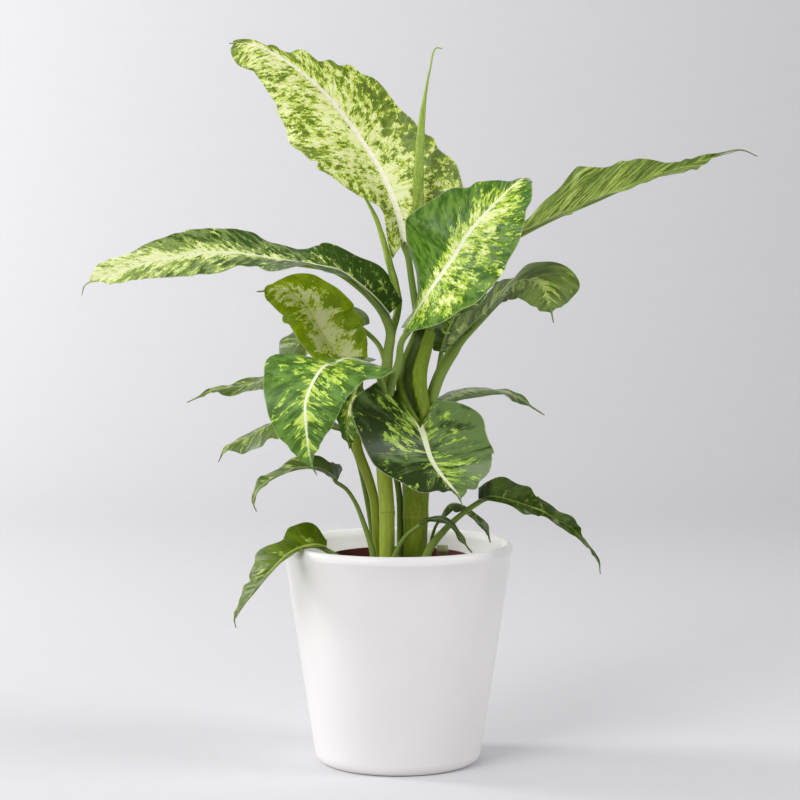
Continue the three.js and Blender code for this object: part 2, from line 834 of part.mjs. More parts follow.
// The midrib, with its tangent, face and side directions at any share of its length.
function midrib(leaf) {
  const curve = smooth(leaf.rib);
  const faceAt = (share) => {
    return new THREE.Vector3(...[0, 1, 2].map((axis) => along(leaf.face.map((f) => f[axis]), share)));
  };
  const at = (share) => {
    const point = curve.getPointAt(share);
    const tangent = curve.getTangentAt(share);
    const face = faceAt(share);
    face.addScaledVector(tangent, -face.dot(tangent)).normalize();
    const side = new THREE.Vector3().crossVectors(tangent, face);
    return { point, tangent, face, side };
  };
  return { at, length: curve.getLength() };
}

// Length of the side vein at a share of the midrib, as a share of the longest vein.
function veinShare(leaf, share) {
  if (share < leaf.widest) {
    return leaf.lobe + (1 - leaf.lobe) * Math.sin((TURN / 4) * (share / leaf.widest));
  }
  const fall = clamp((share - leaf.widest) / (1 - leaf.tail - leaf.widest), 0, 1);
  return Math.max(Math.cos((TURN / 4) * fall), 0) ** leaf.taper;
}

// How far one margin swells or draws in at a share of the midrib, eased between its marks.
function trimmed(marks, share) {
  const place = share * (marks.length - 1);
  const before = clamp(Math.floor(place), 0, marks.length - 2);
  const eased = (1 - Math.cos(Math.PI * (place - before))) / 2;
  return THREE.MathUtils.lerp(marks[before], marks[before + 1], eased);
}

// A point of the blade's middle surface: share runs along the midrib, reach along a side vein.
function bladePoint(leaf, rib, share, reach) {
  const left = reach < 0;
  const out = Math.abs(reach);
  const [, tipAngle] = leaf.veins;
  const baseAngle = leaf.veins[0] + (left ? 1 : -1) * (leaf.skew ?? 0);
  const angle = DEGREE * (tipAngle + (baseAngle - tipAngle) * (1 - share) ** 2);
  const marks = leaf.trim?.[left ? 0 : 1] ?? [1, 1];
  const longest = leaf.half[left ? 0 : 1] * trimmed(marks, share);
  const least = blade.tipHalfWidth + clamp((1 - share) / 0.1, 0, 1);
  const vein = Math.max(longest * veinShare(leaf, share), least);

  const [height, count, phase] = leaf.wave;
  const ripple = TURN * count * share;
  const scallop = Math.sin(1.9 * ripple + 2 * phase + (left ? 0.9 : 0));
  const across = out * vein * Math.sin(angle) * (1 + leaf.scallop * out * scallop);
  const fade = clamp(share / 0.12, 0, 1) * clamp((1 - share) / 0.15, 0, 1);
  const wave = height * out ** 2 * Math.sin(ripple + phase + (left ? 1.7 : 0)) * fade;

  const station = share + (out * vein * Math.cos(angle)) / rib.length;
  const held = clamp(station, 0, 1);
  const { point, tangent, face, side } = rib.at(held);
  const fold = DEGREE * leaf.fold;
  return point
    .addScaledVector(tangent, (station - held) * rib.length)
    .addScaledVector(side, (left ? -1 : 1) * across * Math.cos(fold))
    .addScaledVector(face, across * Math.sin(fold) + wave);
}

// Depth of the midrib under the blade at a share of its length and a reach from its middle.
function ribDepth(leaf, share, reach) {
  const depth = leaf.stalkRadius[1] * (1 - share) ** 0.8 + 0.2;
  if (reach === 0) {
    return depth;
  }
  return Math.abs(reach) <= blade.ribReach ? blade.ribShoulder * depth : 0;
}

// The blade as a closed sheet, split into triangles alike on both faces.
function bladeSolid(leaf, rib) {
  const { columns, thickness } = blade;
  const lobeRows = leaf.veins[0] > blade.lobeAngle ? blade.lobeRows : 0;
  const rows = clamp(Math.round(rib.length / blade.rowLength), ...blade.rows) + lobeRows;
  const last = columns.length - 1;
  const grid = Array.from({ length: rows + 1 }, (_, row) => {
    return columns.map((reach) => bladePoint(leaf, rib, row / rows, reach));
  });
  const normalAt = (row, column) => {
    const down = grid[Math.min(row + 1, rows)][column].clone();
    down.sub(grid[Math.max(row - 1, 0)][column]);
    const over = grid[row][Math.min(column + 1, last)].clone();
    over.sub(grid[row][Math.max(column - 1, 0)]);
    const normal = down.cross(over).normalize();
    return normal.dot(rib.at(row / rows).face) < 0 ? normal.negate() : normal;
  };

  const positions = [];
  const upper = [];
  const lower = [];
  grid.forEach((points, row) => {
    upper.push([]);
    lower.push([]);
    points.forEach((point, column) => {
      const normal = normalAt(row, column);
      const depth = thickness / 2 + ribDepth(leaf, row / rows, columns[column]);
      const top = point.clone().addScaledVector(normal, thickness / 2);
      const bottom = point.clone().addScaledVector(normal, -depth);
      upper[row].push(positions.push(top.toArray()) - 1);
      lower[row].push(positions.push(bottom.toArray()) - 1);
    });
  });

  const index = [];
  const quad = (a, b, c, d) => index.push(a, b, c, a, c, d);
  for (let row = 0; row < rows; row += 1) {
    const [u, l] = [upper[row], lower[row]];
    const [nextU, nextL] = [upper[row + 1], lower[row + 1]];
    for (let column = 0; column < last; column += 1) {
      quad(u[column], u[column + 1], nextU[column + 1], nextU[column]);
      quad(nextL[column + 1], l[column + 1], l[column], nextL[column]);
    }
    quad(u[0], nextU[0], nextL[0], l[0]);
    quad(nextU[last], u[last], l[last], nextL[last]);
  }
  for (let column = 0; column < last; column += 1) {
    quad(upper[0][column + 1], upper[0][column], lower[0][column], lower[0][column + 1]);
    quad(upper[rows][column], upper[rows][column + 1], lower[rows][column + 1], lower[rows][column]);
  }
  const geometry = new THREE.BufferGeometry();
  geometry.setAttribute('position', new THREE.Float32BufferAttribute(positions.flat(), 3));
  geometry.setIndex(index);
  return toSolid(geometry);
}

// The stalk, which runs on into the midrib under the blade. Grown by a margin it is the room
// that the stalk takes, and stops at the blade.
function stalkSolid(leaf, rib, margin = 0) {
  const [root, top] = leaf.stalkRadius;
  const joint = [0, stem.joint].map((share) => {
    const { point, face } = rib.at(share);
    return point.addScaledVector(face, -stem.sink * top).toArray();
  });
  const axis = margin > 0 ? [...leaf.stalk, joint[0]] : [...leaf.stalk, ...joint];
  const geometry = tube(smooth(axis), {
    sides: stem.sides,
    steps: axis.length + 2,
    extend: margin,
    radiusAt: (share) => {
      const body = THREE.MathUtils.lerp(root, top, clamp(share * 1.3, 0, 1));
      const taper = margin > 0 ? 1 : clamp((1 - share) * 6 + 0.35, 0, 1);
      return body * taper + margin;
    },
  });
  return toSolid(geometry);
}

// ---------------------------------------------------------------- the assembly

const dieffenbachia = new THREE.Group();

function add(name, geometry, colour, roughness) {
  const material = new THREE.MeshStandardMaterial({ color: colour, roughness, metalness: 0 });
  const mesh = new THREE.Mesh(geometry, material);
  mesh.name = name;
  dieffenbachia.add(mesh);
}

const cutBy = (solid, neighbours) => neighbours.reduce((left, other) => left.subtract(other), solid);

add('planter', planterGeometry(), colours.glaze, 0.35);
add('nursery_pot', nurseryPotGeometry(), colours.potPlastic, 0.55);

for (const cane of canes) {
  add(cane.name, toGeometry(caneSolid(cane)), colours.cane, 0.5);
}
add('cut_stub', toGeometry(stubSolid()), colours.cutStem, 0.6);

// What is already in place, with clearance, so that later pieces nest round it.
const inPlace = canes.map((cane) => caneSolid(cane, GAP));
const rootedInSoil = [...inPlace, stubSolid(GAP)];

for (const spear of spears) {
  add(spear.name, toGeometry(cutBy(spearSolid(spear), inPlace)), colours.spear, 0.5);
  inPlace.push(spearSolid(spear, GAP));
}

for (const leaf of leaves) {
  const rib = midrib(leaf);
  const whole = bladeSolid(leaf, rib).add(stalkSolid(leaf, rib));
  add(leaf.name, toGeometry(cutBy(whole, inPlace)), colours[leaf.tone], 0.42);
  const stalkRoom = stalkSolid(leaf, rib, GAP);
  inPlace.push(stalkRoom);
  if (leaf.stalk[0][2] < soil.level) {
    rootedInSoil.push(stalkRoom);
  }
}

add('soil', toGeometry(cutBy(soilSolid(), rootedInSoil)), colours.soil, 0.95);

export default dieffenbachia;
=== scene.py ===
"""Potted dieffenbachia: a bushy variegated plant in a nursery pot that stands in a glazed planter.

The solid model is loaded as a fixed frame, and each of its pieces is replaced by a finer one that
keeps its form and place. Metres, +Z up; the front of the plant faces -Y. Sizes are in millimetres
until a mesh is placed.
"""

import logging
import math
from collections.abc import Callable, Iterator, Sequence
from contextlib import contextmanager
from dataclasses import dataclass, field
from enum import Enum

import bpy
import numpy as np
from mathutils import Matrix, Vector, noise

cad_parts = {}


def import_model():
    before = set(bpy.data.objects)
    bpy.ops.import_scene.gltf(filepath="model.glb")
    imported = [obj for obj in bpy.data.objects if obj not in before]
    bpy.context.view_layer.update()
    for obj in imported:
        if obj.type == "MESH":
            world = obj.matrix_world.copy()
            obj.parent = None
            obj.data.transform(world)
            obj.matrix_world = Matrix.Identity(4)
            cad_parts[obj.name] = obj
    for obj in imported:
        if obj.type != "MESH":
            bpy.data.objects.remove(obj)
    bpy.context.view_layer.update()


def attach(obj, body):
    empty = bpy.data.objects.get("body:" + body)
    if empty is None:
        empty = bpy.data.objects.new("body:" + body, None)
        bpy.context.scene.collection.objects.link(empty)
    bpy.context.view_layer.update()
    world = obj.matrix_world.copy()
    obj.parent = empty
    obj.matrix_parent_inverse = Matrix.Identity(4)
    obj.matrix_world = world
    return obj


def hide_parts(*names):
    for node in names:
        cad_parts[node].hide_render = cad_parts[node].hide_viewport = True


LOG = logging.getLogger("dieffenbachia")
MM = 0.001
TURN = 2 * math.pi

Point = tuple[float, float, float]
Colour = tuple[float, float, float]
Array = np.ndarray


def linear(red: int, green: int, blue: int) -> Colour:
    """Turn an sRGB colour (0 to 255) into the linear value that a shader takes."""
    channels = (value / 255 for value in (red, green, blue))
    return tuple(c / 12.92 if c <= 0.04045 else ((c + 0.055) / 1.055) ** 2.4 for c in channels)


def fade(value: Array, low: float, high: float) -> Array:
    """Rise smoothly from 0 at low to 1 at high."""
    share = np.clip((value - low) / (high - low), 0, 1)
    return share * share * (3 - 2 * share)


def along(values: Sequence[float], share: Array) -> Array:
    """Read a list evenly as share goes from 0 to 1."""
    return np.interp(share, np.linspace(0, 1, len(values)), values)


# ---------------------------------------------------------------------------------- the bench


class SmoothCurve:
    """An even walk along a smooth curve through given points, with directions carried along it."""

    SPAN_SAMPLES = 60
    SAMPLES = 300

    def __init__(self, points: Sequence[Point]) -> None:
        """Lay the curve.

        Args:
            points: the points that it passes through, in millimetres.
        """
        path = self._walk(np.array(points, dtype=float))
        steps = np.linalg.norm(np.diff(path, axis=0), axis=1)
        travelled = np.concatenate([[0.0], np.cumsum(steps)])
        self.length = float(travelled[-1])
        self.shares = np.linspace(0, 1, self.SAMPLES)
        even = self.shares * self.length
        self.points = np.stack([np.interp(even, travelled, path[:, k]) for k in range(3)], axis=1)
        tangents = np.gradient(self.points, axis=0)
        self.tangents = tangents / np.linalg.norm(tangents, axis=1)[:, None]
        self.across = self._carry(self.tangents)
        self.up = np.cross(self.across, self.tangents)

    def _walk(self, points: Array) -> Array:
        """Sample a centripetal Catmull-Rom curve through the points."""
        padded = np.vstack([2 * points[0] - points[1], points, 2 * points[-1] - points[-2]])
        step = np.linspace(0, 1, self.SPAN_SAMPLES, endpoint=False)[:, None]
        spans = []
        for index in range(len(points) - 1):
            before, start, end, after = padded[index : index + 4]
            pairs = ((before, start), (start, end), (end, after))
            d0, d1, d2 = (math.sqrt(np.linalg.norm(b - a)) for a, b in pairs)
            leave = ((start - before) / d0 - (end - before) / (d0 + d1) + (end - start) / d1) * d1
            arrive = ((end - start) / d1 - (after - start) / (d1 + d2) + (after - end) / d2) * d1
            square = 3 * (end - start) - 2 * leave - arrive
            cube = 2 * (start - end) + leave + arrive
            spans.append(start + leave * step + square * step**2 + cube * step**3)
        return np.vstack([*spans, points[-1:]])

    @staticmethod
    def _carry(tangents: Array) -> Array:
        """Carry a sideways direction along the curve without twist."""
        across = np.array([1.0, 0.0, 0.0])
        carried = []
        for tangent in tangents:
            across = across - tangent * across.dot(tangent)
            across = across / np.linalg.norm(across)
            carried.append(across)
        return np.array(carried)

    def read(self, values: Array, share: Array) -> Array:
        """Read one of the curve's lists of vectors at any shares of its length."""
        return np.stack([np.interp(share, self.shares, values[:, k]) for k in range(3)], axis=-1)


class Bench:
    """The few shop operations that the pieces are made with."""

    @staticmethod
    def clear() -> None:
        """Leave nothing selected, so that an operator meets only the new piece."""
        if bpy.context.object is not None and bpy.context.object.mode != "OBJECT":
            bpy.ops.object.mode_set(mode="OBJECT")
        bpy.ops.object.select_all(action="DESELECT")

    @staticmethod
    def take(piece: bpy.types.Object) -> None:
        """Select one piece alone and make it the active one."""
        Bench.clear()
        piece.select_set(True)
        bpy.context.view_layer.objects.active = piece

    @staticmethod
    @contextmanager
    def editing(piece: bpy.types.Object) -> Iterator[None]:
        """Open one piece in edit mode with all of it selected, and close it again."""
        Bench.take(piece)
        bpy.ops.object.mode_set(mode="EDIT")
        bpy.ops.mesh.select_all(action="SELECT")
        yield
        bpy.ops.object.mode_set(mode="OBJECT")

    @staticmethod
    def named(name: str) -> bpy.types.Object:
        """Name the primitive that was just added."""
        piece = bpy.context.object
        piece.name = name
        piece.data.name = name
        return piece

    @staticmethod
    def places(piece: bpy.types.Object) -> Array:
        """Read the vertices of a piece, in metres."""
        flat = np.empty(len(piece.data.vertices) * 3)
        piece.data.vertices.foreach_get("co", flat)
        return flat.reshape(-1, 3)

    @staticmethod
    def move(piece: bpy.types.Object, places_mm: Array) -> None:
        """Put the vertices of a piece at new places, given in millimetres."""
        piece.data.vertices.foreach_set("co", (places_mm * MM).ravel())
        piece.data.update()

    @staticmethod
    def note(piece: bpy.types.Object, name: str, values: Array) -> None:
        """Keep a vector at each vertex, for the piece's material to read."""
        layer = piece.data.attributes.new(name, "FLOAT_VECTOR", "POINT")
        layer.data.foreach_set("vector", values.astype(float).ravel())

    @staticmethod
    def noted(piece: bpy.types.Object, name: str) -> Array:
        """Read back the vectors that note has kept."""
        layer = piece.data.attributes[name]
        values = np.zeros(len(piece.data.vertices) * 3)
        layer.data.foreach_get("vector", values)
        return values.reshape(-1, 3)

    @staticmethod
    def apply(piece: bpy.types.Object, kind: str, **settings: object) -> None:
        """Add a modifier with its settings and apply it."""
        Bench.take(piece)
        modifier = piece.modifiers.new(kind.lower(), kind)
        for setting, value in settings.items():
            setattr(modifier, setting, value)
        bpy.ops.object.modifier_apply(modifier=modifier.name)

    @staticmethod
    def smooth(piece: bpy.types.Object, degrees: float) -> None:
        """Shade a piece smooth, with edges sharper than an angle left crisp."""
        Bench.take(piece)
        bpy.ops.object.shade_smooth_by_angle(angle=math.radians(degrees))

    @staticmethod
    def join(pieces: Sequence[bpy.types.Object]) -> bpy.types.Object:
        """Join pieces into the first of them."""
        Bench.clear()
        for piece in pieces:
            piece.select_set(True)
        bpy.context.view_layer.objects.active = pieces[0]
        bpy.ops.object.join()
        return pieces[0]

    @staticmethod
    def grid(name: str, rows: int, columns: int) -> bpy.types.Object:
        """Add a flat grid one unit wide that is shaped into a sheet or rolled into a tube."""
        Bench.clear()
        bpy.ops.mesh.primitive_grid_add(x_subdivisions=rows, y_subdivisions=columns, size=1)
        return Bench.named(name)

    @staticmethod
    def lathe(name: str, profile: Sequence[tuple[float, float]], steps: int) -> bpy.types.Object:
        """Turn a profile about the upright axis.

        Args:
            name: the new piece's name.
            profile: radius and height of each point, starting and ending on the axis.
            steps: how many facets go round.

        Returns:
            A closed turned piece.
        """
        Bench.clear()
        bpy.ops.mesh.primitive_plane_add(size=MM)
        piece = Bench.named(name)
        with Bench.editing(piece):
            bpy.ops.mesh.merge(type="CENTER")
            last = (0.0, 0.0)
            for index, point in enumerate(profile):
                step = ((point[0] - last[0]) * MM, 0, (point[1] - last[1]) * MM)
                if index == 0:
                    bpy.ops.transform.translate(value=step)
                else:
                    bpy.ops.mesh.extrude_vertices_move(TRANSFORM_OT_translate={"value": step})
                last = point
            bpy.ops.mesh.select_all(action="SELECT")
            bpy.ops.mesh.spin(steps=steps, angle=TURN, center=(0, 0, 0), axis=(0, 0, 1))
            bpy.ops.mesh.select_all(action="SELECT")
            bpy.ops.mesh.remove_doubles(threshold=MM * 0.01)
            bpy.ops.mesh.normals_make_consistent(inside=False)
        return piece

    @staticmethod
    def tube(
        name: str,
        curve: SmoothCurve,
        radius_at: Callable[[Array, Array], Array],
        around: int,
        steps: int,
    ) -> bpy.types.Object:
        """Roll a grid round a curve and close its seam and ends.

        Args:
            name: the new piece's name.
            curve: the tube's middle line.
            radius_at: gives the radius in millimetres for a share of the length and an angle.
            around: facets round the tube.
            steps: facets along it.

        Returns:
            A closed tube whose "place" attribute holds share, turn and height.
        """
        piece = Bench.grid(name, around, steps)
        flat = Bench.places(piece)
        angle = (flat[:, 0] + 0.5) * TURN
        share = np.clip(flat[:, 1] + 0.5, 0, 1)
        radius = radius_at(share, angle)[:, None]
        centre = curve.read(curve.points, share)
        across = curve.read(curve.across, share) * np.cos(angle)[:, None]
        up = curve.read(curve.up, share) * np.sin(angle)[:, None]
        Bench.move(piece, centre + radius * (across + up))
        Bench.note(piece, "place", np.stack([share, angle / TURN, share * curve.length], axis=1))
        with Bench.editing(piece):
            bpy.ops.mesh.remove_doubles(threshold=MM * 0.002)
            bpy.ops.mesh.fill_holes(sides=0)
            bpy.ops.mesh.select_all(action="SELECT")
            bpy.ops.mesh.normals_make_consistent(inside=False)
        return piece

    @staticmethod
    def deliver(
        piece: bpy.types.Object,
        nodes: Sequence[str],
        slot: str,
        finishes: Sequence[bpy.types.Material],
    ) -> None:
        """slot: name of the material slot; not used.
        """
        piece.data.materials.clear()
        for finish in finishes:
            piece.data.materials.append(finish)
        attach(piece, "root")
        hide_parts(*nodes)
        LOG.info("%s: %d faces", piece.name, len(piece.data.polygons))


# ---------------------------------------------------------------------------------- shader work


class Sheet:
    """A drafting sheet for one shader node tree."""

    def __init__(self, tree: bpy.types.NodeTree) -> None:
        """Start on a tree."""
        self.tree = tree

    def add(self, kind: str, settings: dict | None = None, **sockets: object) -> bpy.types.Node:
        """Place a node.

        Args:
            kind: the node's type.
            settings: its own options.
            sockets: values or outputs for its inputs; an underscore stands for a space.

        Returns:
            The placed node.
        """
        node = self.tree.nodes.new(kind)
        for name, value in (settings or {}).items():
            setattr(node, name, value)
        for name, value in sockets.items():
            self.feed(node.inputs[name.replace("_", " ")], value)
        return node

    def feed(self, socket: bpy.types.NodeSocket, value: object) -> None:
        """Give an input a number, a colour or another node's output."""
        if isinstance(value, bpy.types.NodeSocket):
            self.tree.links.new(value, socket)
        elif isinstance(value, tuple) and socket.type == "RGBA":
            socket.default_value = (*value, 1.0)
        else:
            socket.default_value = value

    def math(self, operation: str, *values: object) -> bpy.types.NodeSocket:
        """Work out one number from others."""
        node = self.tree.nodes.new("ShaderNodeMath")
        node.operation = operation
        for socket, value in zip(node.inputs, values):
            self.feed(socket, value)
        return node.outputs[0]

    def sum(self, *terms: object) -> bpy.types.NodeSocket:
        """Add several numbers."""
        total = terms[0]
        for term in terms[1:]:
            total = self.math("ADD", total, term)
        return total

    def rise(self, value: object, low: object, high: object) -> bpy.types.NodeSocket:
        """Rise smoothly from 0 at low to 1 at high."""
        node = self.tree.nodes.new("ShaderNodeMapRange")
        node.interpolation_type = "SMOOTHSTEP"
        self.feed(node.inputs["Value"], value)
        self.feed(node.inputs["From Min"], low)
        self.feed(node.inputs["From Max"], high)
        return node.outputs[0]

    def blend(self, share: object, first: object, second: object) -> bpy.types.NodeSocket:
        """Mix two colours."""
        node = self.tree.nodes.new("ShaderNodeMix")
        node.data_type = "RGBA"
        for index, value in ((0, share), (6, first), (7, second)):
            self.feed(node.inputs[index], value)
        return node.outputs[2]

    def vector(self, x: object, y: object, z: object) -> bpy.types.NodeSocket:
        """Join three numbers into a vector."""
        return self.add("ShaderNodeCombineXYZ", X=x, Y=y, Z=z).outputs[0]

    def split(self, vector: bpy.types.NodeSocket) -> tuple[bpy.types.NodeSocket, ...]:
        """Take a vector apart."""
        return tuple(self.add("ShaderNodeSeparateXYZ", Vector=vector).outputs)

    def kept(self, name: str) -> tuple[bpy.types.NodeSocket, ...]:
        """Read a vector that the piece keeps at its vertices, taken apart."""
        node = self.add("ShaderNodeAttribute", {"attribute_name": name})
        return self.split(node.outputs["Vector"])

    def cloud(
        self, vector: object, scale: float, detail: float = 2.0, rough: float = 0.5
    ) -> bpy.types.NodeSocket:
        """Make soft noise from 0 to 1."""
        sockets = {"Vector": vector, "Scale": scale, "Detail": detail, "Roughness": rough}
        return self.add("ShaderNodeTexNoise", **sockets).outputs["Fac"]

    def own_place(self) -> bpy.types.NodeSocket:
        """Read the place on the piece, in metres."""
        return self.add("ShaderNodeTexCoord").outputs["Object"]


class Effects:
    """Shader effects that several finishes share, each a node group that is built once."""

    @staticmethod
    def _start(
        name: str, inputs: dict[str, object], outputs: dict[str, str]
    ) -> tuple[Sheet, dict[str, bpy.types.NodeSocket], bpy.types.Node]:
        """Open a new group.

        Args:
            name: the effect's name.
            inputs: each input's name and usual value; a tuple is a colour or a vector.
            outputs: each output's name and socket type.

        Returns:
            The sheet to draw on, the group's inputs by name, and its output node.
        """
        tree = bpy.data.node_groups.new(name, "ShaderNodeTree")
        for title, value in inputs.items():
            kind = "NodeSocketColor" if isinstance(value, tuple) else "NodeSocketFloat"
            socket = tree.interface.new_socket(title, in_out="INPUT", socket_type=kind)
            socket.default_value = (*value, 1.0) if isinstance(value, tuple) else value
        for title, kind in outputs.items():
            tree.interface.new_socket(title, in_out="OUTPUT", socket_type=kind)
        source = tree.nodes.new("NodeGroupInput")
        drain = tree.nodes.new("NodeGroupOutput")
        return Sheet(tree), {socket.name: socket for socket in source.outputs[:-1]}, drain

    @staticmethod
    def _reuse(name: str) -> bpy.types.NodeTree | None:
        """Find an effect that is already built."""
        return bpy.data.node_groups.get(name)

    @classmethod
    def variegation(cls) -> bpy.types.NodeTree:
        """Cream flecks that run out from the midrib along the side veins of a green blade."""
        name = "leaf_variegation"
        if found := cls._reuse(name):
            return found
        usual = {
            "Cream": 0.5,
            "Core": 0.2,
            "Spread": 0.3,
            "Drift": 0.0,
            "Lean": 0.0,
            "Fade": 0.0,
            "Tilt": 0.0,
            "Sweep": 0.0,
            "Lime Band": 0.1,
            "Stretch": 1.0,
            "Fineness": 1.0,
            "Seed": 0.0,
            "Rib": 1.6,
            "Rib End": 0.8,
            "Quiet": 0.0,
            "Quiet Share": 0.3,
            "Quiet Reach": -0.5,
            "Sheen": 0.4,
            "Dry": 0.0,
            "Deep": (0.02, 0.06, 0.02),
            "Green": (0.05, 0.16, 0.03),
            "Lime": (0.3, 0.5, 0.06),
            "Pale": (0.7, 0.8, 0.3),
            "Midrib": (0.8, 0.85, 0.55),
            "Back": (0.2, 0.3, 0.1),
        }
        given = {"Color": "NodeSocketColor", "Roughness": "NodeSocketFloat"}
        sheet, value, drain = cls._start(name, usual, {**given, "Height": "NodeSocketFloat"})
        share, reach, under = sheet.kept("place")
        run, out, rib = sheet.kept("veins")
        side = sheet.math("ABSOLUTE", reach)

        swung = sheet.math("MULTIPLY", sheet.math("ABSOLUTE", out), value["Sweep"])
        swept = sheet.math("SUBTRACT", run, swung)
        fine_run = sheet.math("MULTIPLY", swept, value["Fineness"])
        fine_out = sheet.math("DIVIDE", sheet.math("MULTIPLY", out, value["Fineness"]), value["Stretch"])

        def drawn(
            along_run: float, along_vein: float, detail: float, roughness: float
        ) -> bpy.types.NodeSocket:
            """Cloud that is drawn out along the side veins, around zero."""
            place = sheet.vector(
                sheet.math("MULTIPLY", fine_run, along_run),
                sheet.math("MULTIPLY", fine_out, along_vein),
                value["Seed"],
            )
            return sheet.math("SUBTRACT", sheet.cloud(place, 1.0, detail, roughness), 0.5)

        blotches = drawn(0.2, 0.075, 4.0, 0.72)
        flecks = drawn(0.62, 0.26, 2.0, 0.6)
        patches = drawn(0.055, 0.035, 1.0, 0.5)
        texture = sheet.sum(
            sheet.math("MULTIPLY", blotches, 2.3),
            sheet.math("MULTIPLY", flecks, 0.7),
            sheet.math("MULTIPLY", patches, 0.9),
        )
        core = sheet.math("MULTIPLY", value["Core"], sheet.math("SUBTRACT", 1.0, sheet.rise(side, 0.0, 0.35)))
        margin = sheet.math("MULTIPLY", value["Spread"], sheet.rise(side, 0.3, 1.0))
        ends = sheet.math("MULTIPLY", 0.22, sheet.rise(share, 0.86, 1.0))
        gap_share = sheet.math("POWER", sheet.math("SUBTRACT", share, value["Quiet Share"]), 2.0)
        gap_reach = sheet.math("POWER", sheet.math("SUBTRACT", reach, value["Quiet Reach"]), 2.0)
        nearness = sheet.sum(sheet.math("MULTIPLY", gap_share, 4.0), gap_reach)
        quiet = sheet.math(
            "MULTIPLY", value["Quiet"], sheet.math("SUBTRACT", 1.0, sheet.rise(nearness, 0.08, 0.45))
        )
        drift = sheet.math("MULTIPLY", value["Drift"], sheet.math("SUBTRACT", share, 0.5))
        leaning = sheet.math("MINIMUM", sheet.math("MAXIMUM", reach, -0.4), 0.4)
        lean = sheet.math("MULTIPLY", value["Lean"], leaning)
        level = sheet.sum(texture, sheet.math("SUBTRACT", value["Cream"], 0.5), core, drift, lean)
        level = sheet.math("SUBTRACT", sheet.math("SUBTRACT", level, margin), sheet.sum(ends, quiet))

        fading = sheet.math("MULTIPLY", value["Fade"], sheet.math("SUBTRACT", share, 0.5))
        tilt = sheet.math("MULTIPLY", value["Tilt"], reach)
        shade = sheet.sum(drawn(0.16, 0.06, 3.0, 0.6), fading, tilt)
        green = sheet.blend(sheet.rise(shade, -0.13, 0.13), value["Deep"], value["Green"])
        lime = sheet.blend(sheet.rise(level, -0.03, 0.02), green, value["Lime"])
        curdle = sheet.math("MULTIPLY", drawn(0.45, 0.3, 2.0, 0.6), 0.6)
        ripe = sheet.math("SUBTRACT", sheet.sum(level, curdle), value["Lime Band"])
        colour = sheet.blend(sheet.rise(ripe, -0.05, 0.13), lime, value["Pale"])

        spacing = sheet.math("FRACT", sheet.math("MULTIPLY", run, 0.115))
        vein = sheet.math("ABSOLUTE", sheet.math("SUBTRACT", spacing, 0.5))
        vein = sheet.math(
            "MULTIPLY", sheet.rise(vein, 0.455, 0.5), sheet.math("SUBTRACT", 1.0, sheet.rise(side, 0.7, 1.0))
        )
        colour = sheet.blend(sheet.math("MULTIPLY", vein, 0.2), colour, value["Lime"])
        taper = sheet.math("POWER", sheet.math("SUBTRACT", 1.0, share), 0.7)
        width = sheet.sum(sheet.math("MULTIPLY", value["Rib"], taper), 0.1)
        band = sheet.math("SUBTRACT", 1.0, sheet.rise(sheet.math("SUBTRACT", rib, width), -0.3, 0.5))
        running_out = sheet.rise(share, value["Rib End"], 1.0)
        band = sheet.math("MULTIPLY", band, sheet.math("SUBTRACT", 1.0, running_out))
        colour = sheet.blend(sheet.math("MULTIPLY", band, 0.96), colour, value["Midrib"])
        edge = sheet.math("MULTIPLY", sheet.rise(side, 0.98, 0.997), 0.3)
        colour = sheet.blend(edge, colour, value["Midrib"])
        colour = sheet.blend(sheet.math("MULTIPLY", under, 0.55), colour, value["Back"])
        dry = sheet.math("MULTIPLY", sheet.rise(share, 0.95, 0.985), value["Dry"])
        colour = sheet.blend(dry, colour, (0.1, 0.11, 0.03))

        rough = sheet.sum(
            value["Sheen"], sheet.math("MULTIPLY", blotches, 0.2), sheet.math("MULTIPLY", under, 0.12)
        )
        puckers = drawn(0.3, 0.16, 2.0, 0.5)
        height = sheet.sum(
            sheet.math("MULTIPLY", puckers, 1.6),
            sheet.math("MULTIPLY", flecks, 0.3),
            sheet.math("MULTIPLY", vein, -0.6),
        )
        sheet.feed(drain.inputs["Color"], colour)
        sheet.feed(drain.inputs["Roughness"], rough)
        sheet.feed(drain.inputs["Height"], height)
        return sheet.tree

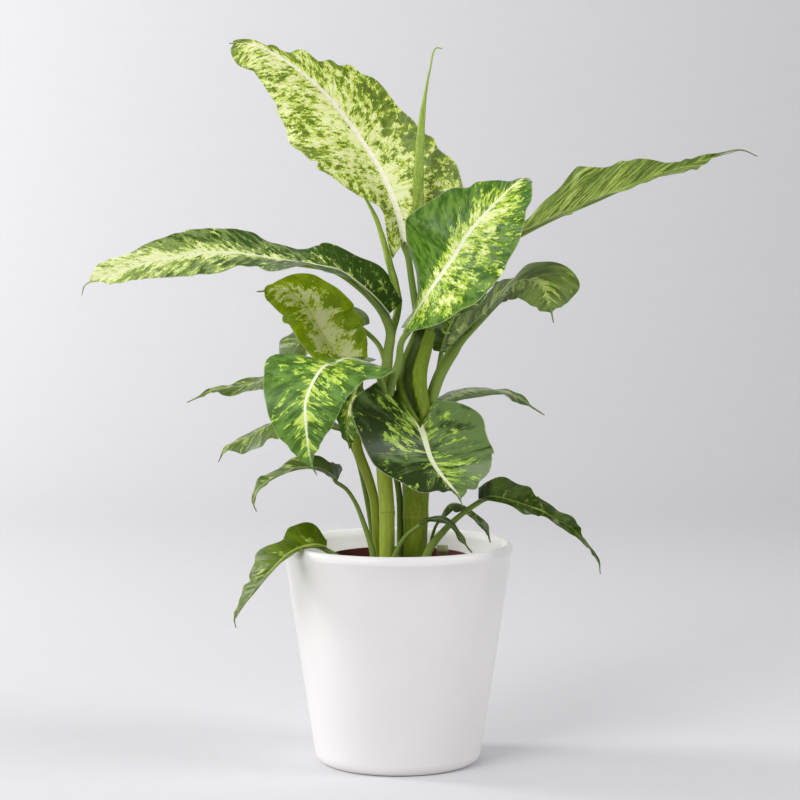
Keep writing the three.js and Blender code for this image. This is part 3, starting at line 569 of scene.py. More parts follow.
    @classmethod
    def stem_skin(cls) -> bpy.types.NodeTree:
        """Streaks along a stem, faint pale dashes, rings where leaves have been, painted shade in the gaps
        between sheaths, and a real stain on a cut stump.
        """
        name = "stem_skin"
        if found := cls._reuse(name):
            return found
        usual = {
            "Streaks": 0.5,
            "Dashes": 0.3,
            "Seed": 0.0,
            "Ring One": -1.0,
            "Ring Two": -1.0,
            "Foot": (0.2, 0.3, 0.08),
            "Top": (0.3, 0.45, 0.12),
            "Shade": (0.1, 0.2, 0.04),
            "Light": (0.6, 0.7, 0.3),
            "Scar": (0.2, 0.18, 0.07),
            "Gap Shade And Stain": (0.02, 0.05, 0.0),
        }
        given = {"Color": "NodeSocketColor", "Roughness": "NodeSocketFloat"}
        sheet, value, drain = cls._start(name, usual, {**given, "Height": "NodeSocketFloat"})
        share, turn, run = sheet.kept("place")
        gap_shade_and_stain = sheet.kept("gap_shade_and_stain")[0]
        angle = sheet.math("MULTIPLY", turn, TURN)
        x = sheet.math("COSINE", angle)
        y = sheet.math("SINE", angle)
        lift = sheet.math("ADD", sheet.math("MULTIPLY", run, 0.02), value["Seed"])
        lines = sheet.cloud(sheet.vector(x, y, lift), 5.0, 3.0, 0.6)
        dash_lift = sheet.math("ADD", sheet.math("MULTIPLY", run, 0.16), value["Seed"])
        dashes = sheet.cloud(sheet.vector(x, y, dash_lift), 4.0, 2.0, 0.6)
        colour = sheet.blend(share, value["Foot"], value["Top"])
        streaked = sheet.math("MULTIPLY", sheet.rise(lines, 0.42, 0.7), value["Streaks"])
        colour = sheet.blend(streaked, colour, value["Shade"])
        dashed = sheet.math("MULTIPLY", sheet.rise(dashes, 0.56, 0.66), value["Dashes"])
        colour = sheet.blend(dashed, colour, value["Light"])
        scars = []
        for ring in ("Ring One", "Ring Two"):
            away = sheet.math("ABSOLUTE", sheet.math("SUBTRACT", run, value[ring]))
            scars.append(sheet.math("SUBTRACT", 1.0, sheet.rise(away, 0.25, 1.3)))
        scar = sheet.math("MAXIMUM", *scars)
        colour = sheet.blend(sheet.math("MULTIPLY", scar, 0.55), colour, value["Scar"])
        # Painted shade where a sheath gap's mask is set; on the cut stump the same mask marks a real stain.
        colour = sheet.blend(sheet.math("MULTIPLY", gap_shade_and_stain, 0.85), colour, value["Gap Shade And Stain"])
        sheet.feed(drain.inputs["Color"], colour)
        sheet.feed(drain.inputs["Roughness"], sheet.sum(0.42, sheet.math("MULTIPLY", lines, 0.2)))
        height = sheet.sum(sheet.math("MULTIPLY", lines, 0.6), sheet.math("MULTIPLY", scar, -0.5))
        sheet.feed(drain.inputs["Height"], height)
        return sheet.tree

    @classmethod
    def mottle(cls) -> bpy.types.NodeTree:
        """A ground colour that drifts towards another, with a fine grain."""
        name = "ground_mottle"
        if found := cls._reuse(name):
            return found
        usual = {
            "Scale": 40.0,
            "Grain": 900.0,
            "Roughness": 0.5,
            "Unevenness": 0.1,
            "Ground": (0.5, 0.5, 0.5),
            "Drift": (0.4, 0.4, 0.4),
        }
        given = {"Color": "NodeSocketColor", "Roughness": "NodeSocketFloat"}
        sheet, value, drain = cls._start(name, usual, {**given, "Height": "NodeSocketFloat"})
        place = sheet.own_place()
        broad = sheet.cloud(place, value["Scale"], 3.0, 0.55)
        grain = sheet.cloud(place, value["Grain"], 2.0, 0.6)
        colour = sheet.blend(sheet.rise(broad, 0.3, 0.7), value["Ground"], value["Drift"])
        uneven = sheet.math("MULTIPLY", sheet.math("SUBTRACT", broad, 0.5), value["Unevenness"])
        rough = sheet.sum(value["Roughness"], uneven)
        sheet.feed(drain.inputs["Color"], colour)
        sheet.feed(drain.inputs["Roughness"], rough)
        sheet.feed(drain.inputs["Height"], sheet.sum(grain, sheet.math("MULTIPLY", broad, 0.5)))
        return sheet.tree


@dataclass(frozen=True)
class Surface:
    """The numbers of a finish that are the same all over it."""

    specular: float = 0.5
    coat: float = 0.0
    coat_roughness: float = 0.1
    subsurface: float = 0.0
    relief: float = 0.2
    relief_depth: float = 0.2
    # Emission on a surface that is no lamp: a painted glow.
    painted_glow: float = 0.0


def dress(
    name: str, effect: bpy.types.NodeTree, values: dict[str, object], surface: Surface
) -> bpy.types.Material:
    """Make a material from a shared effect and a surface.

    Args:
        name: the material's name.
        effect: the node group that gives colour, roughness and height.
        values: what the group is set to.
        surface: the constants of the shader itself.

    Returns:
        The finished material.
    """
    material = bpy.data.materials.new(name)
    material.use_nodes = True
    material.node_tree.nodes.clear()
    sheet = Sheet(material.node_tree)
    group = sheet.add("ShaderNodeGroup", {"node_tree": effect})
    for title, value in values.items():
        sheet.feed(group.inputs[title], value)
    bump = sheet.add("ShaderNodeBump", Height=group.outputs["Height"])
    bump.inputs["Strength"].default_value = surface.relief
    bump.inputs["Distance"].default_value = surface.relief_depth * MM
    shader = sheet.add("ShaderNodeBsdfPrincipled", Normal=bump.outputs["Normal"])
    sheet.feed(shader.inputs["Base Color"], group.outputs["Color"])
    sheet.feed(shader.inputs["Roughness"], group.outputs["Roughness"])
    shader.inputs["Specular IOR Level"].default_value = surface.specular
    shader.inputs["Coat Weight"].default_value = surface.coat
    shader.inputs["Coat Roughness"].default_value = surface.coat_roughness
    # Painted glow: white emission at this strength.
    shader.inputs["Emission Strength"].default_value = surface.painted_glow
    shader.inputs["Subsurface Weight"].default_value = surface.subsurface
    shader.inputs["Subsurface Radius"].default_value = (0.3, 0.6, 0.1)
    shader.inputs["Subsurface Scale"].default_value = 2 * MM
    output = sheet.add("ShaderNodeOutputMaterial")
    sheet.feed(output.inputs["Surface"], shader.outputs["BSDF"])
    return material


class Tone(Enum):
    """sRGB values of a leaf: deep green, light green, lime fleck and pale fleck."""

    YOUNG = ((92, 116, 24), (122, 144, 44), (198, 218, 76), (240, 243, 184))
    FRESH = ((54, 98, 4), (106, 144, 50), (178, 208, 54), (238, 243, 168))
    PALING = ((52, 84, 14), (138, 160, 88), (186, 208, 92), (240, 245, 184))
    GROWN = ((62, 100, 18), (104, 144, 56), (166, 202, 54), (206, 226, 112))
    BROAD = ((42, 62, 14), (106, 132, 74), (150, 186, 60), (196, 218, 116))
    STREAKED = ((78, 98, 26), (112, 132, 58), (152, 174, 70), (190, 200, 124))
    GREYED = ((74, 94, 20), (112, 134, 58), (150, 172, 62), (182, 194, 116))
    OLD = ((46, 68, 14), (94, 118, 48), (146, 176, 60), (188, 208, 116))
    BACKLIT = ((132, 160, 0), (166, 190, 20), (222, 234, 104), (250, 252, 196))
    RIM = ((74, 96, 6), (98, 120, 18), (138, 158, 54), (190, 200, 120))
    DULL = ((72, 94, 24), (100, 122, 46), (136, 158, 58), (182, 192, 124))
    SHADED = ((44, 62, 10), (70, 92, 24), (104, 124, 50), (140, 156, 90))


@dataclass(frozen=True)
class LeafFinish:
    """How one leaf is marked: how much cream it carries, where, and over which green."""

    tone: Tone
    seed: float
    cream: float = 0.5
    core: float = 0.2
    spread: float = 0.3
    drift: float = 0.0
    lean: float = 0.0
    fade: float = 0.0
    tilt: float = 0.0
    sweep: float = 0.0
    lime_band: float = 0.1
    stretch: float = 1.0
    fineness: float = 1.0
    rib: float = 1.6
    rib_end: float = 0.8
    quiet: float = 0.0
    quiet_at: tuple[float, float] = (0.3, -0.5)
    sheen: float = 0.34
    relief: float = 0.5
    dry: float = 0.6
    midrib: tuple[int, int, int] = (240, 243, 206)
    back: tuple[int, int, int] = (128, 150, 70)

    def material(self, name: str) -> bpy.types.Material:
        """Make the leaf's own material."""
        deep, green, lime, pale = self.tone.value
        values = {
            "Cream": self.cream,
            "Core": self.core,
            "Spread": self.spread,
            "Drift": self.drift,
            "Lean": self.lean,
            "Fade": self.fade,
            "Tilt": self.tilt,
            "Sweep": self.sweep,
            "Lime Band": self.lime_band,
            "Stretch": self.stretch,
            "Fineness": self.fineness,
            "Seed": self.seed,
            "Rib": self.rib,
            "Rib End": self.rib_end,
            "Quiet": self.quiet,
            "Quiet Share": self.quiet_at[0],
            "Quiet Reach": self.quiet_at[1],
            "Sheen": self.sheen,
            "Dry": self.dry,
            "Deep": linear(*deep),
            "Green": linear(*green),
            "Lime": linear(*lime),
            "Pale": linear(*pale),
            "Midrib": linear(*self.midrib),
            "Back": linear(*self.back),
        }
        surface = Surface(specular=0.3, relief=self.relief, relief_depth=0.45)
        return dress(name, Effects.variegation(), values, surface)


@dataclass(frozen=True)
class StemFinish:
    """The skin of a cane, a stalk or a rolled leaf."""

    foot: tuple[int, int, int]
    top: tuple[int, int, int]
    shade: tuple[int, int, int]
    light: tuple[int, int, int] = (206, 222, 140)
    scar: tuple[int, int, int] = (136, 128, 70)
    # Painted shade colour for the gaps between sheaths; the cut stump uses it for its real stain.
    gap_shade_and_stain: tuple[int, int, int] = (40, 60, 0)
    streaks: float = 0.35
    dashes: float = 0.08
    seed: float = 0.0
    rings: tuple[float, float] = (-9.0, -9.0)

    def material(self, name: str) -> bpy.types.Material:
        """Make the stem's own material."""
        values = {
            "Streaks": self.streaks,
            "Dashes": self.dashes,
            "Seed": self.seed,
            "Ring One": self.rings[0],
            "Ring Two": self.rings[1],
            "Foot": linear(*self.foot),
            "Top": linear(*self.top),
            "Shade": linear(*self.shade),
            "Light": linear(*self.light),
            "Scar": linear(*self.scar),
            "Gap Shade And Stain": linear(*self.gap_shade_and_stain),
        }
        return dress(name, Effects.stem_skin(), values, Surface(specular=0.28, relief=0.25, relief_depth=0.3))


@dataclass(frozen=True)
class GroundFinish:
    """A plain made surface, such as glaze, moulded plastic or earth."""

    ground: tuple[int, int, int]
    drift: tuple[int, int, int]
    roughness: float
    unevenness: float = 0.1
    scale: float = 40.0
    grain: float = 900.0
    surface: Surface = field(default_factory=Surface)

    def material(self, name: str) -> bpy.types.Material:
        """Make the surface's material."""
        values = {
            "Scale": self.scale,
            "Grain": self.grain,
            "Roughness": self.roughness,
            "Unevenness": self.unevenness,
            "Ground": linear(*self.ground),
            "Drift": linear(*self.drift),
        }
        return dress(name, Effects.mottle(), values, self.surface)


# ---------------------------------------------------------------------------------- pots and soil


def arc(
    centre: tuple[float, float], radii: tuple[float, float], start: float, end: float, steps: int
) -> list:
    """Points of a profile round a centre, between two angles in degrees."""
    angles = np.radians(np.linspace(start, end, steps + 1))
    return [(centre[0] + radii[0] * math.cos(a), centre[1] + radii[1] * math.sin(a)) for a in angles]


@dataclass
class Planter:
    """The glazed cover pot: a tapered round shell with a soft foot and a rounded lip."""

    height: float = 180
    contact_radius: float = 60
    foot_radius: float = 68.2
    foot_height: float = 10
    shoulder_radius: float = 92.6
    shoulder_height: float = 172
    lip_radius: float = 93.4
    crown_inset: float = 3.7
    wall: float = 6.2
    floor: float = 8
    inner_round: float = 7
    facets: int = 144
    finish: GroundFinish = GroundFinish(
        ground=(238, 236, 235),
        drift=(235, 233, 232),
        roughness=0.38,
        unevenness=0.08,
        scale=14,
        grain=320,
        surface=Surface(specular=0.3, coat=0.12, coat_roughness=0.25, relief=0.05, relief_depth=0.1),
    )

    # Painted light on the inner wall: a glaze paler than the outside, with a faint painted glow, stands in
    # for light that the leaves keep off.
    inside: GroundFinish = GroundFinish(
        ground=(252, 252, 250),
        drift=(251, 251, 249),
        roughness=0.5,
        surface=Surface(specular=0.4, relief=0.0, painted_glow=0.1),
    )

    def build(self) -> None:
        """Turn the pot and glaze it."""
        crown_radius = self.lip_radius - self.crown_inset
        inner_shoulder = self.shoulder_radius - self.wall - 1
        inner_foot = self.foot_radius - self.wall - self.inner_round
        crown = (crown_radius, self.shoulder_height + 1)
        rise = self.height - self.shoulder_height - 1
        foot = (self.contact_radius, self.foot_height)
        inner_bend = (inner_foot, self.floor + self.inner_round)
        profile = [
            (0, 2.2),
            (self.contact_radius - 9, 2.2),
            (self.contact_radius - 6.5, 0.6),
            (self.contact_radius - 4.5, 0.0),
            *arc(foot, (self.foot_radius - self.contact_radius, self.foot_height), -90, 0, 12),
            *self._side(),
            *arc(crown, (self.lip_radius - crown_radius, rise), 0, 90, 10),
            *arc(crown, (crown_radius - inner_shoulder, rise), 90, 180, 8)[1:],
            (inner_shoulder, self.shoulder_height - 4),
            *arc(inner_bend, (self.inner_round, self.inner_round), 0, -90, 8),
            (0, self.floor),
        ]
        pot = Bench.lathe("glazed_planter", profile, self.facets)
        Bench.smooth(pot, 50)
        finishes = [self.finish.material("white_glaze"), self.inside.material("inner_glaze_painted_light")]
        Bench.deliver(pot, ["planter"], "glaze", finishes)
        # Faces inside the pot above its floor take the paler, glowing inner glaze: painted light.
        for face in pot.data.polygons:
            inward = face.normal.x * face.center.x + face.normal.y * face.center.y < 0
            face.material_index = int(inward and face.center.z > self.floor * MM)

    def _side(self) -> list[tuple[float, float]]:
        """The wall between foot and lip, with the faintest swell of a cast pot."""
        shares = np.linspace(0.12, 1, 8)
        swell = 0.25 * np.sin(math.pi * shares)
        radii = self.foot_radius + (self.shoulder_radius - self.foot_radius) * shares + swell
        heights = self.foot_height + (self.shoulder_height - self.foot_height) * shares
        return list(zip(radii, heights))


@dataclass
class NurseryPot:
    """The thin plastic pot that the plant grew up in."""

    base: float = 8.3
    rim_height: float = 168
    rim_radius: float = 58
    rim_flare: float = 0.6
    band_height: float = 9
    neck_radius: float = 55.4
    base_radius: float = 43
    bevel: float = 2
    wall: float = 1.3
    drain_holes: int = 4
    drain_hole_radius: float = 4.5
    drain_circle: float = 28
    facets: int = 96
    finish: GroundFinish = GroundFinish(
        ground=(104, 38, 28),
        drift=(84, 28, 20),
        roughness=0.5,
        unevenness=0.2,
        scale=70,
        grain=1400,
        surface=Surface(specular=0.35, relief=0.15, relief_depth=0.1),
    )

    def build(self) -> None:
        """Turn the pot, bore its drain holes and colour it."""
        band = self.rim_height - self.band_height
        profile = [
            (0, self.base),
            (self.base_radius - self.bevel, self.base),
            (self.base_radius, self.base + self.bevel),
            (self.neck_radius, band),
            (self.neck_radius + 0.4, band + 0.2),
            (self.rim_radius, band + self.rim_flare),
            (self.rim_radius + self.rim_flare - 0.2, self.rim_height - self.rim_flare),
            (self.rim_radius + 0.2, self.rim_height),
            (self.rim_radius - self.wall + 0.3, self.rim_height),
            (self.rim_radius - self.wall, self.rim_height - 0.4),
            (self.rim_radius - self.wall, band + self.wall + self.rim_flare),
            (self.neck_radius - self.wall, band),
            (self.base_radius - self.wall, self.base + self.wall + self.bevel),
            (self.base_radius - self.wall - self.bevel, self.base + self.wall),
            (0, self.base + self.wall),
        ]
        pot = Bench.lathe("thin_nursery_pot", profile, self.facets)
        for index in range(self.drain_holes):
            self._bore(pot, TURN * (index + 0.5) / self.drain_holes)
        Bench.smooth(pot, 35)
        Bench.deliver(pot, ["nursery_pot"], "nursery_plastic", [self.finish.material("red_brown_plastic")])

    def _bore(self, pot: bpy.types.Object, angle: float) -> None:
        """Cut one drain hole through the pot's floor."""
        place = Vector((math.cos(angle), math.sin(angle), 0)) * self.drain_circle
        place.z = self.base
        Bench.clear()
        bpy.ops.mesh.primitive_cylinder_add(
            vertices=24, radius=self.drain_hole_radius * MM, depth=4 * self.wall * MM, location=place * MM
        )
        drill = Bench.named("drill")
        Bench.apply(pot, "BOOLEAN", operation="DIFFERENCE", object=drill, solver="EXACT")
        bpy.data.objects.remove(drill)


@dataclass
class Soil:
    """Dark peat with an uneven top and loose crumbs on it."""

    level: float = 160
    mound: float = 2.5
    mound_radius: float = 55.4
    crumb: float = 0.9
    bottom: float = 9.9
    bottom_radius: float = 41.1
    bevel: float = 3
    top_radius: float = 53.5
    edge: float = 159
    crumbs: int = 420
    seed: int = 7
    finish: GroundFinish = GroundFinish(
        ground=(58, 40, 28),
        drift=(30, 20, 14),
        roughness=0.92,
        scale=260,
        grain=1500,
        surface=Surface(specular=0.2, relief=0.9, relief_depth=1.0),
    )

    def top(self, x: float, y: float) -> float:
        """Height of the ground at a place."""
        share = math.hypot(x, y) / self.mound_radius
        fine = math.sin(x * 0.31 + 0.7) * math.cos(y * 0.27)
        coarse = math.sin(x * 0.13 - y * 0.41)
        lumps = self.crumb * (fine + 0.6 * coarse) * (1 - share**4)
        return self.level + self.mound * (1 - share * share) + lumps

    def build(self) -> None:
        """Turn the ball of earth, roughen its top and strew crumbs on it."""
        rings = np.linspace(self.top_radius, 0, 34)
        profile = [
            (0, self.bottom),
            (self.bottom_radius - self.bevel, self.bottom),
            (self.bottom_radius, self.bottom + self.bevel),
            (self.top_radius, self.edge - 1),
            *((radius, self.edge) for radius in rings),
        ]
        ball = Bench.lathe("peat_soil", profile, 128)
        places = Bench.places(ball) / MM
        for place in places:
            if place[2] > self.edge - 0.5:
                rough = noise.fractal(Vector(place) * 0.35, 0.8, 2.2, 4)
                place[2] = self.top(place[0], place[1]) + 0.8 * rough
        Bench.move(ball, places)
        piece = Bench.join([ball, *self._strewn()])
        Bench.smooth(piece, 40)
        Bench.deliver(piece, ["soil"], "soil", [self.finish.material("moist_peat")])

    def _strewn(self) -> list[bpy.types.Object]:
        """Make one crumb of earth and copy it over the top."""
        Bench.clear()
        bpy.ops.mesh.primitive_ico_sphere_add(subdivisions=1, radius=MM)
        first = Bench.named("crumb")
        shape = Bench.places(first) / MM
        chance = np.random.default_rng(self.seed)
        crumbs = [first]
        for index in range(self.crumbs):
            radius = (self.top_radius - 2) * math.sqrt(chance.random())
            angle = TURN * chance.random()
            x, y = radius * math.cos(angle), radius * math.sin(angle)
            size = 0.5 + 1.1 * chance.random() ** 2
            stretch = size * (0.6 + 0.8 * chance.random(3))
            piece = first if index == 0 else first.copy()
            if index:
                piece.data = first.data.copy()
                bpy.context.collection.objects.link(piece)
                crumbs.append(piece)
            Bench.move(piece, shape * stretch + np.array([x, y, self.top(x, y) + 0.2 * size]))
        return crumbs


# ---------------------------------------------------------------------------------- canes and rolls


@dataclass(frozen=True)
class SheathEdge:
    """The free edge of a leaf sheath that laps round a cane, from one turn and height to another."""

    start: tuple[float, float]
    end: tuple[float, float]
    step: float = 1.0
    fall: float = 45.0


@dataclass(frozen=True)
class SheathGap:
    """A wedge sunk between two sheaths and darkened with painted shade: closed at its foot, open between two
    turns at its top.
    """

    foot: tuple[float, float]
    turns: tuple[float, float]
    top: float
    depth: float = 3.0

    def share_at(self, height: Array, turn: Array) -> Array:
        """How far inside the wedge a place is, from 0 to 1."""
        turn_foot, low = self.foot
        rise = np.clip((height - low) / (self.top - low), 0, 1)
        first, last = (turn_foot + (side - turn_foot) * rise for side in self.turns)
        across = fade(turn, first - 0.006, first + 0.006) * (1 - fade(turn, last - 0.02, last + 0.02))
        return across * fade(rise, 0, 0.2)


@dataclass
class Cane:
    """An upright stem: a bare cane below and a column of nested leaf sheaths above."""

    name: str
    axis: tuple[Point, ...]
    radii: tuple[float, ...]
    finish: StemFinish
    rings: tuple[float, ...] = ()
    edges: tuple[SheathEdge, ...] = ()
    gap: SheathGap | None = None
    around: int = 64
    steps: int = 200

    def build(self) -> None:
        """Raise the cane and colour it."""
        curve = SmoothCurve(self.axis)

        def radius_at(share: Array, angle: Array) -> Array:
            """Radius of the cane, with its ring scars and the laps of its sheaths."""
            height = curve.read(curve.points, share)[:, 2]
            radius = along(self.radii, share)
            for level in self.rings:
                radius = radius + 0.55 * np.exp(-(((height - level) / 3.2) ** 2))
                radius = radius - 0.45 * np.exp(-(((height - level - 1.2) / 0.7) ** 2))
            for edge in self.edges:
                radius = radius + self._lap(edge, height, angle / TURN)
            if self.gap:
                radius = radius - self.gap.depth * self.gap.share_at(height, angle / TURN)
            return radius + 0.12 * np.sin(9 * angle + height * 0.02)

        cane = Bench.tube(f"{self.name}_stem", curve, radius_at, self.around, self.steps)
        if self.gap:
            share, turn, _ = Bench.noted(cane, "place").T
            # The wedge's mask goes to the skin, which paints shade into the gap.
            dark = self.gap.share_at(curve.read(curve.points, share)[:, 2], turn)
            Bench.note(cane, "gap_shade_and_stain", np.stack([dark, dark, dark], axis=1))
        Bench.smooth(cane, 60)
        Bench.deliver(cane, [self.name], "cane", [self.finish.material(f"{self.name}_skin")])

    @staticmethod
    def _lap(edge: SheathEdge, height: Array, turn: Array) -> Array:
        """Height of a sheath over the stem beside its free edge."""
        (turn_low, low), (turn_high, high) = edge.start, edge.end
        share = np.clip((height - low) / (high - low), 0, 1)
        line = turn_low + (turn_high - turn_low) * share
        away = (turn - line + 0.5) % 1 - 0.5
        lap = fade(away, -0.004, 0.01) * (1 - fade(away, 0.1, 0.4))
        reach = fade(height, low - edge.fall, low) * (1 - fade(height, high, high + 12))
        return edge.step * lap * reach


@dataclass
class Spear:
    """A young leaf that is still rolled up, with its free edge winding round it."""

    name: str
    axis: tuple[Point, ...]
    radii: tuple[float, ...]
    turns: float
    finish: StemFinish
    lap: float = 0.3
    start: float = 0.2
    around: int = 48
    steps: int = 150

    def build(self) -> None:
        """Roll the leaf and colour it."""
        curve = SmoothCurve(self.axis)

        def radius_at(share: Array, angle: Array) -> Array:
            """Radius of the roll, with its outer lap."""
            turn = (angle / TURN + 1 + self.turns * share) % 1
            open_share = fade(share, self.start, self.start + 0.12)
            lap = self.lap * open_share * (fade(turn, 0.0, 0.05) * (1 - turn) - 0.42)
            ripple = 0.04 * np.sin(share * 60) * open_share
            return along(self.radii, share) * (1 + lap + ripple)

        roll = Bench.tube(f"{self.name}_roll", curve, radius_at, self.around, self.steps)
        Bench.smooth(roll, 60)
        Bench.deliver(roll, [self.name], "young_leaf", [self.finish.material(f"{self.name}_skin")])


@dataclass
class CutStub:
    """The dry stump of a stalk that was cut off just above the soil."""

    foot: Point = (36, 17, 150)
    top: Point = (36.6, 17.4, 175)
    radii: tuple[float, float] = (6.2, 5.7)
    stain_heights: tuple[float, float] = (169, 172)
    finish: StemFinish = StemFinish(
        foot=(150, 156, 98),
        top=(180, 186, 132),
        shade=(116, 112, 70),
        light=(208, 212, 168),
        # The stump's real stain at its foot.
        gap_shade_and_stain=(78, 50, 32),
        streaks=0.6,
    )

    def build(self) -> None:
        """Raise the stump with a ragged, slightly dished cut."""
        curve = SmoothCurve((self.foot, self.top))

        def radius_at(share: Array, angle: Array) -> Array:
            """Radius of the stump, with its faint ribs."""
            ribs = 0.12 * np.sin(11 * angle) + 0.08 * np.sin(5 * angle + 1)
            return along(self.radii, share) + ribs

        stub = Bench.tube("cut_stub_stem", curve, radius_at, 48, 40)
        heights = curve.read(curve.points, Bench.noted(stub, "place")[:, 0])[:, 2]
        stain = 1 - fade(heights, *self.stain_heights)
        Bench.note(stub, "gap_shade_and_stain", np.stack([stain, stain, stain], axis=1))
        self._dish(stub)
        Bench.smooth(stub, 45)
        Bench.deliver(stub, ["cut_stub"], "cut_stem", [self.finish.material("dry_cut_stem")])

    def _dish(self, stub: bpy.types.Object) -> None:
        """Inset the cut face in steps and sink its pith."""
        for face in stub.data.polygons:
            face.select = len(face.vertices) > 8 and face.center.z > (self.top[2] - 2) * MM
        Bench.take(stub)
        bpy.ops.object.mode_set(mode="EDIT")
        bpy.ops.mesh.select_mode(type="FACE")
        for inset, sink in ((0.5, 0.1), (0.6, -0.5), (2.2, -0.7)):
            bpy.ops.mesh.inset(thickness=inset * MM, depth=sink * MM)
        bpy.ops.mesh.select_mode(type="VERT")
        bpy.ops.object.mode_set(mode="OBJECT")


# ---------------------------------------------------------------------------------- leaves


@dataclass
class Leaf:
    """One leaf: a waved blade on a midrib, and the stalk that carries it.

    A side vein leaves the midrib at every share of its length, and a point of the blade is a share
    along the midrib and a reach along that vein, from -1 at the left margin to 1 at the right one.
    """

    name: str
    stalk: tuple[Point, ...]
    stalk_radius: tuple[float, float]
    rib: tuple[Point, ...]
    face: tuple[Point, ...]
    half: tuple[float, float]
    fold: float
    lobe: float
    widest: float
    veins: tuple[float, float]
    taper: float
    tail: float
    wave: tuple[float, float, float]
    scallop: float
    finish: LeafFinish
    skin: StemFinish
    trim: tuple[tuple[float, ...], tuple[float, ...]] = ((1.0, 1.0), (1.0, 1.0))
    skew: float = 0.0
    slot: str = "leaf_green"
    thickness: float = 0.7
    quilt: float = 0.45
    quilt_spacing: float = 8.7
    ripple: float = 0.7
    ripple_length: float = 21.0
    frill: tuple[float, float] = (0.4, 0.4)
    columns: int = 44
    row_length: float = 1.6

    def __post_init__(self) -> None:
        """Lay the midrib."""
        self.curve = SmoothCurve(self.rib)
        faces = np.array(self.face, dtype=float)
        spread = np.linspace(0, 1, len(faces))
        sides = [np.interp(self.curve.shares, spread, faces[:, k]) for k in range(3)]
        upward = np.stack(sides, axis=1)
        tangents = self.curve.tangents
        upward = upward - (upward * tangents).sum(axis=1)[:, None] * tangents
        self.upward = upward / np.linalg.norm(upward, axis=1)[:, None]
        self.sideways = np.cross(tangents, self.upward)

    def vein_share(self, share: Array) -> Array:
        """Length of the side vein at a share of the midrib, as a share of the longest vein."""
        rising = self.lobe + (1 - self.lobe) * np.sin(TURN / 4 * np.clip(share / self.widest, 0, 1))
        fall = np.clip((share - self.widest) / (1 - self.tail - self.widest), 0, 1)
        falling = np.maximum(np.cos(TURN / 4 * fall), 0) ** self.taper
        return np.where(share < self.widest, rising, falling)

    @staticmethod
    def trimmed(marks: tuple[float, ...], share: Array) -> Array:
        """How far one margin swells or draws in at a share of the midrib, eased between its marks."""
        place = share * (len(marks) - 1)
        before = np.clip(np.floor(place).astype(int), 0, len(marks) - 2)
        eased = (1 - np.cos(math.pi * (place - before))) / 2
        values = np.array(marks)
        return values[before] + (values[before + 1] - values[before]) * eased

    def vein_length(self, share: Array, reach: Array) -> Array:
        """Length of the side vein in millimetres."""
        left, right = (half * self.trimmed(marks, share) for half, marks in zip(self.half, self.trim))
        longest = np.where(reach < 0, left, right)
        least = 0.5 + np.clip((1 - share) / 0.1, 0, 1)
        return np.maximum(longest * self.vein_share(share), least)

    def vein_angle(self, share: Array, reach: Array) -> Array:
        """Angle between the midrib and a side vein, in radians."""
        base_angle, tip_angle = self.veins
        base_angle = base_angle + np.where(reach < 0, self.skew, -self.skew)
        return np.radians(tip_angle + (base_angle - tip_angle) * (1 - share) ** 2)

    def middle(self, share: Array, reach: Array) -> Array:
        """Point of the blade's middle surface."""
        left = reach < 0
        out = np.abs(reach)
        angle = self.vein_angle(share, reach)
        vein = self.vein_length(share, reach)
        height, count, phase = self.wave
        turn = TURN * count * share
        scallop = np.sin(1.9 * turn + 2 * phase + np.where(left, 0.9, 0))
        across = out * vein * np.sin(angle) * (1 + self.scallop * out * scallop)
        held_ends = np.clip(share / 0.12, 0, 1) * np.clip((1 - share) / 0.15, 0, 1)
        wave = height * out**2 * np.sin(turn + phase + np.where(left, 1.7, 0)) * held_ends
        station = share + out * vein * np.cos(angle) / self.curve.length
        held = np.clip(station, 0, 1)
        fold = math.radians(self.fold)
        side = np.where(left, -1, 1) * across * math.cos(fold)
        point = self.curve.read(self.curve.points, held)
        past_end = (station - held) * self.curve.length
        point = point + self.curve.read(self.curve.tangents, held) * past_end[:, None]
        point = point + self.curve.read(self.sideways, held) * side[:, None]
        return point + self.curve.read(self.upward, held) * (across * math.sin(fold) + wave)[:, None]

    def normal(self, share: Array, reach: Array) -> Array:
        """Direction that the blade's upper side looks in."""
        step = 0.004
        lower, upper = np.clip(share - step, 0, 1), np.clip(share + step, 0, 1)
        inner, outer = np.clip(reach - step, -1, 1), np.clip(reach + step, -1, 1)
        down = self.middle(upper, reach) - self.middle(lower, reach)
        over = self.middle(share, outer) - self.middle(share, inner)
        normal = np.cross(down, over)
        normal = normal / np.maximum(np.linalg.norm(normal, axis=1), 1e-9)[:, None]
        facing = (normal * self.curve.read(self.upward, share)).sum(axis=1)
        return normal * np.where(facing < 0, -1, 1)[:, None]

    def relief(self, share: Array, reach: Array) -> Array:
        """How far the surface stands from its middle: quilting, edge ripples and the rib's channel."""
        out = np.abs(reach)
        run = share * self.curve.length
        vein = self.vein_length(share, reach)
        quilt = np.abs(np.sin(math.pi * run / self.quilt_spacing)) ** 0.8 - 0.6
        quilt = self.quilt * quilt * fade(out * vein, 1.5, 7) * (1 - fade(out, 0.75, 1))
        turn = TURN * run / self.ripple_length
        ripple = np.sin(turn + np.where(reach < 0, 2.1, 0) + 1.3 * np.sin(turn * 0.37))
        ripple = self.ripple * ripple * out**4 * fade(share, 0.06, 0.2) * (1 - fade(share, 0.8, 0.95))
        channel = -0.4 * (1 - share) * np.exp(-((out * vein / 2.4) ** 2))
        return quilt + ripple + channel

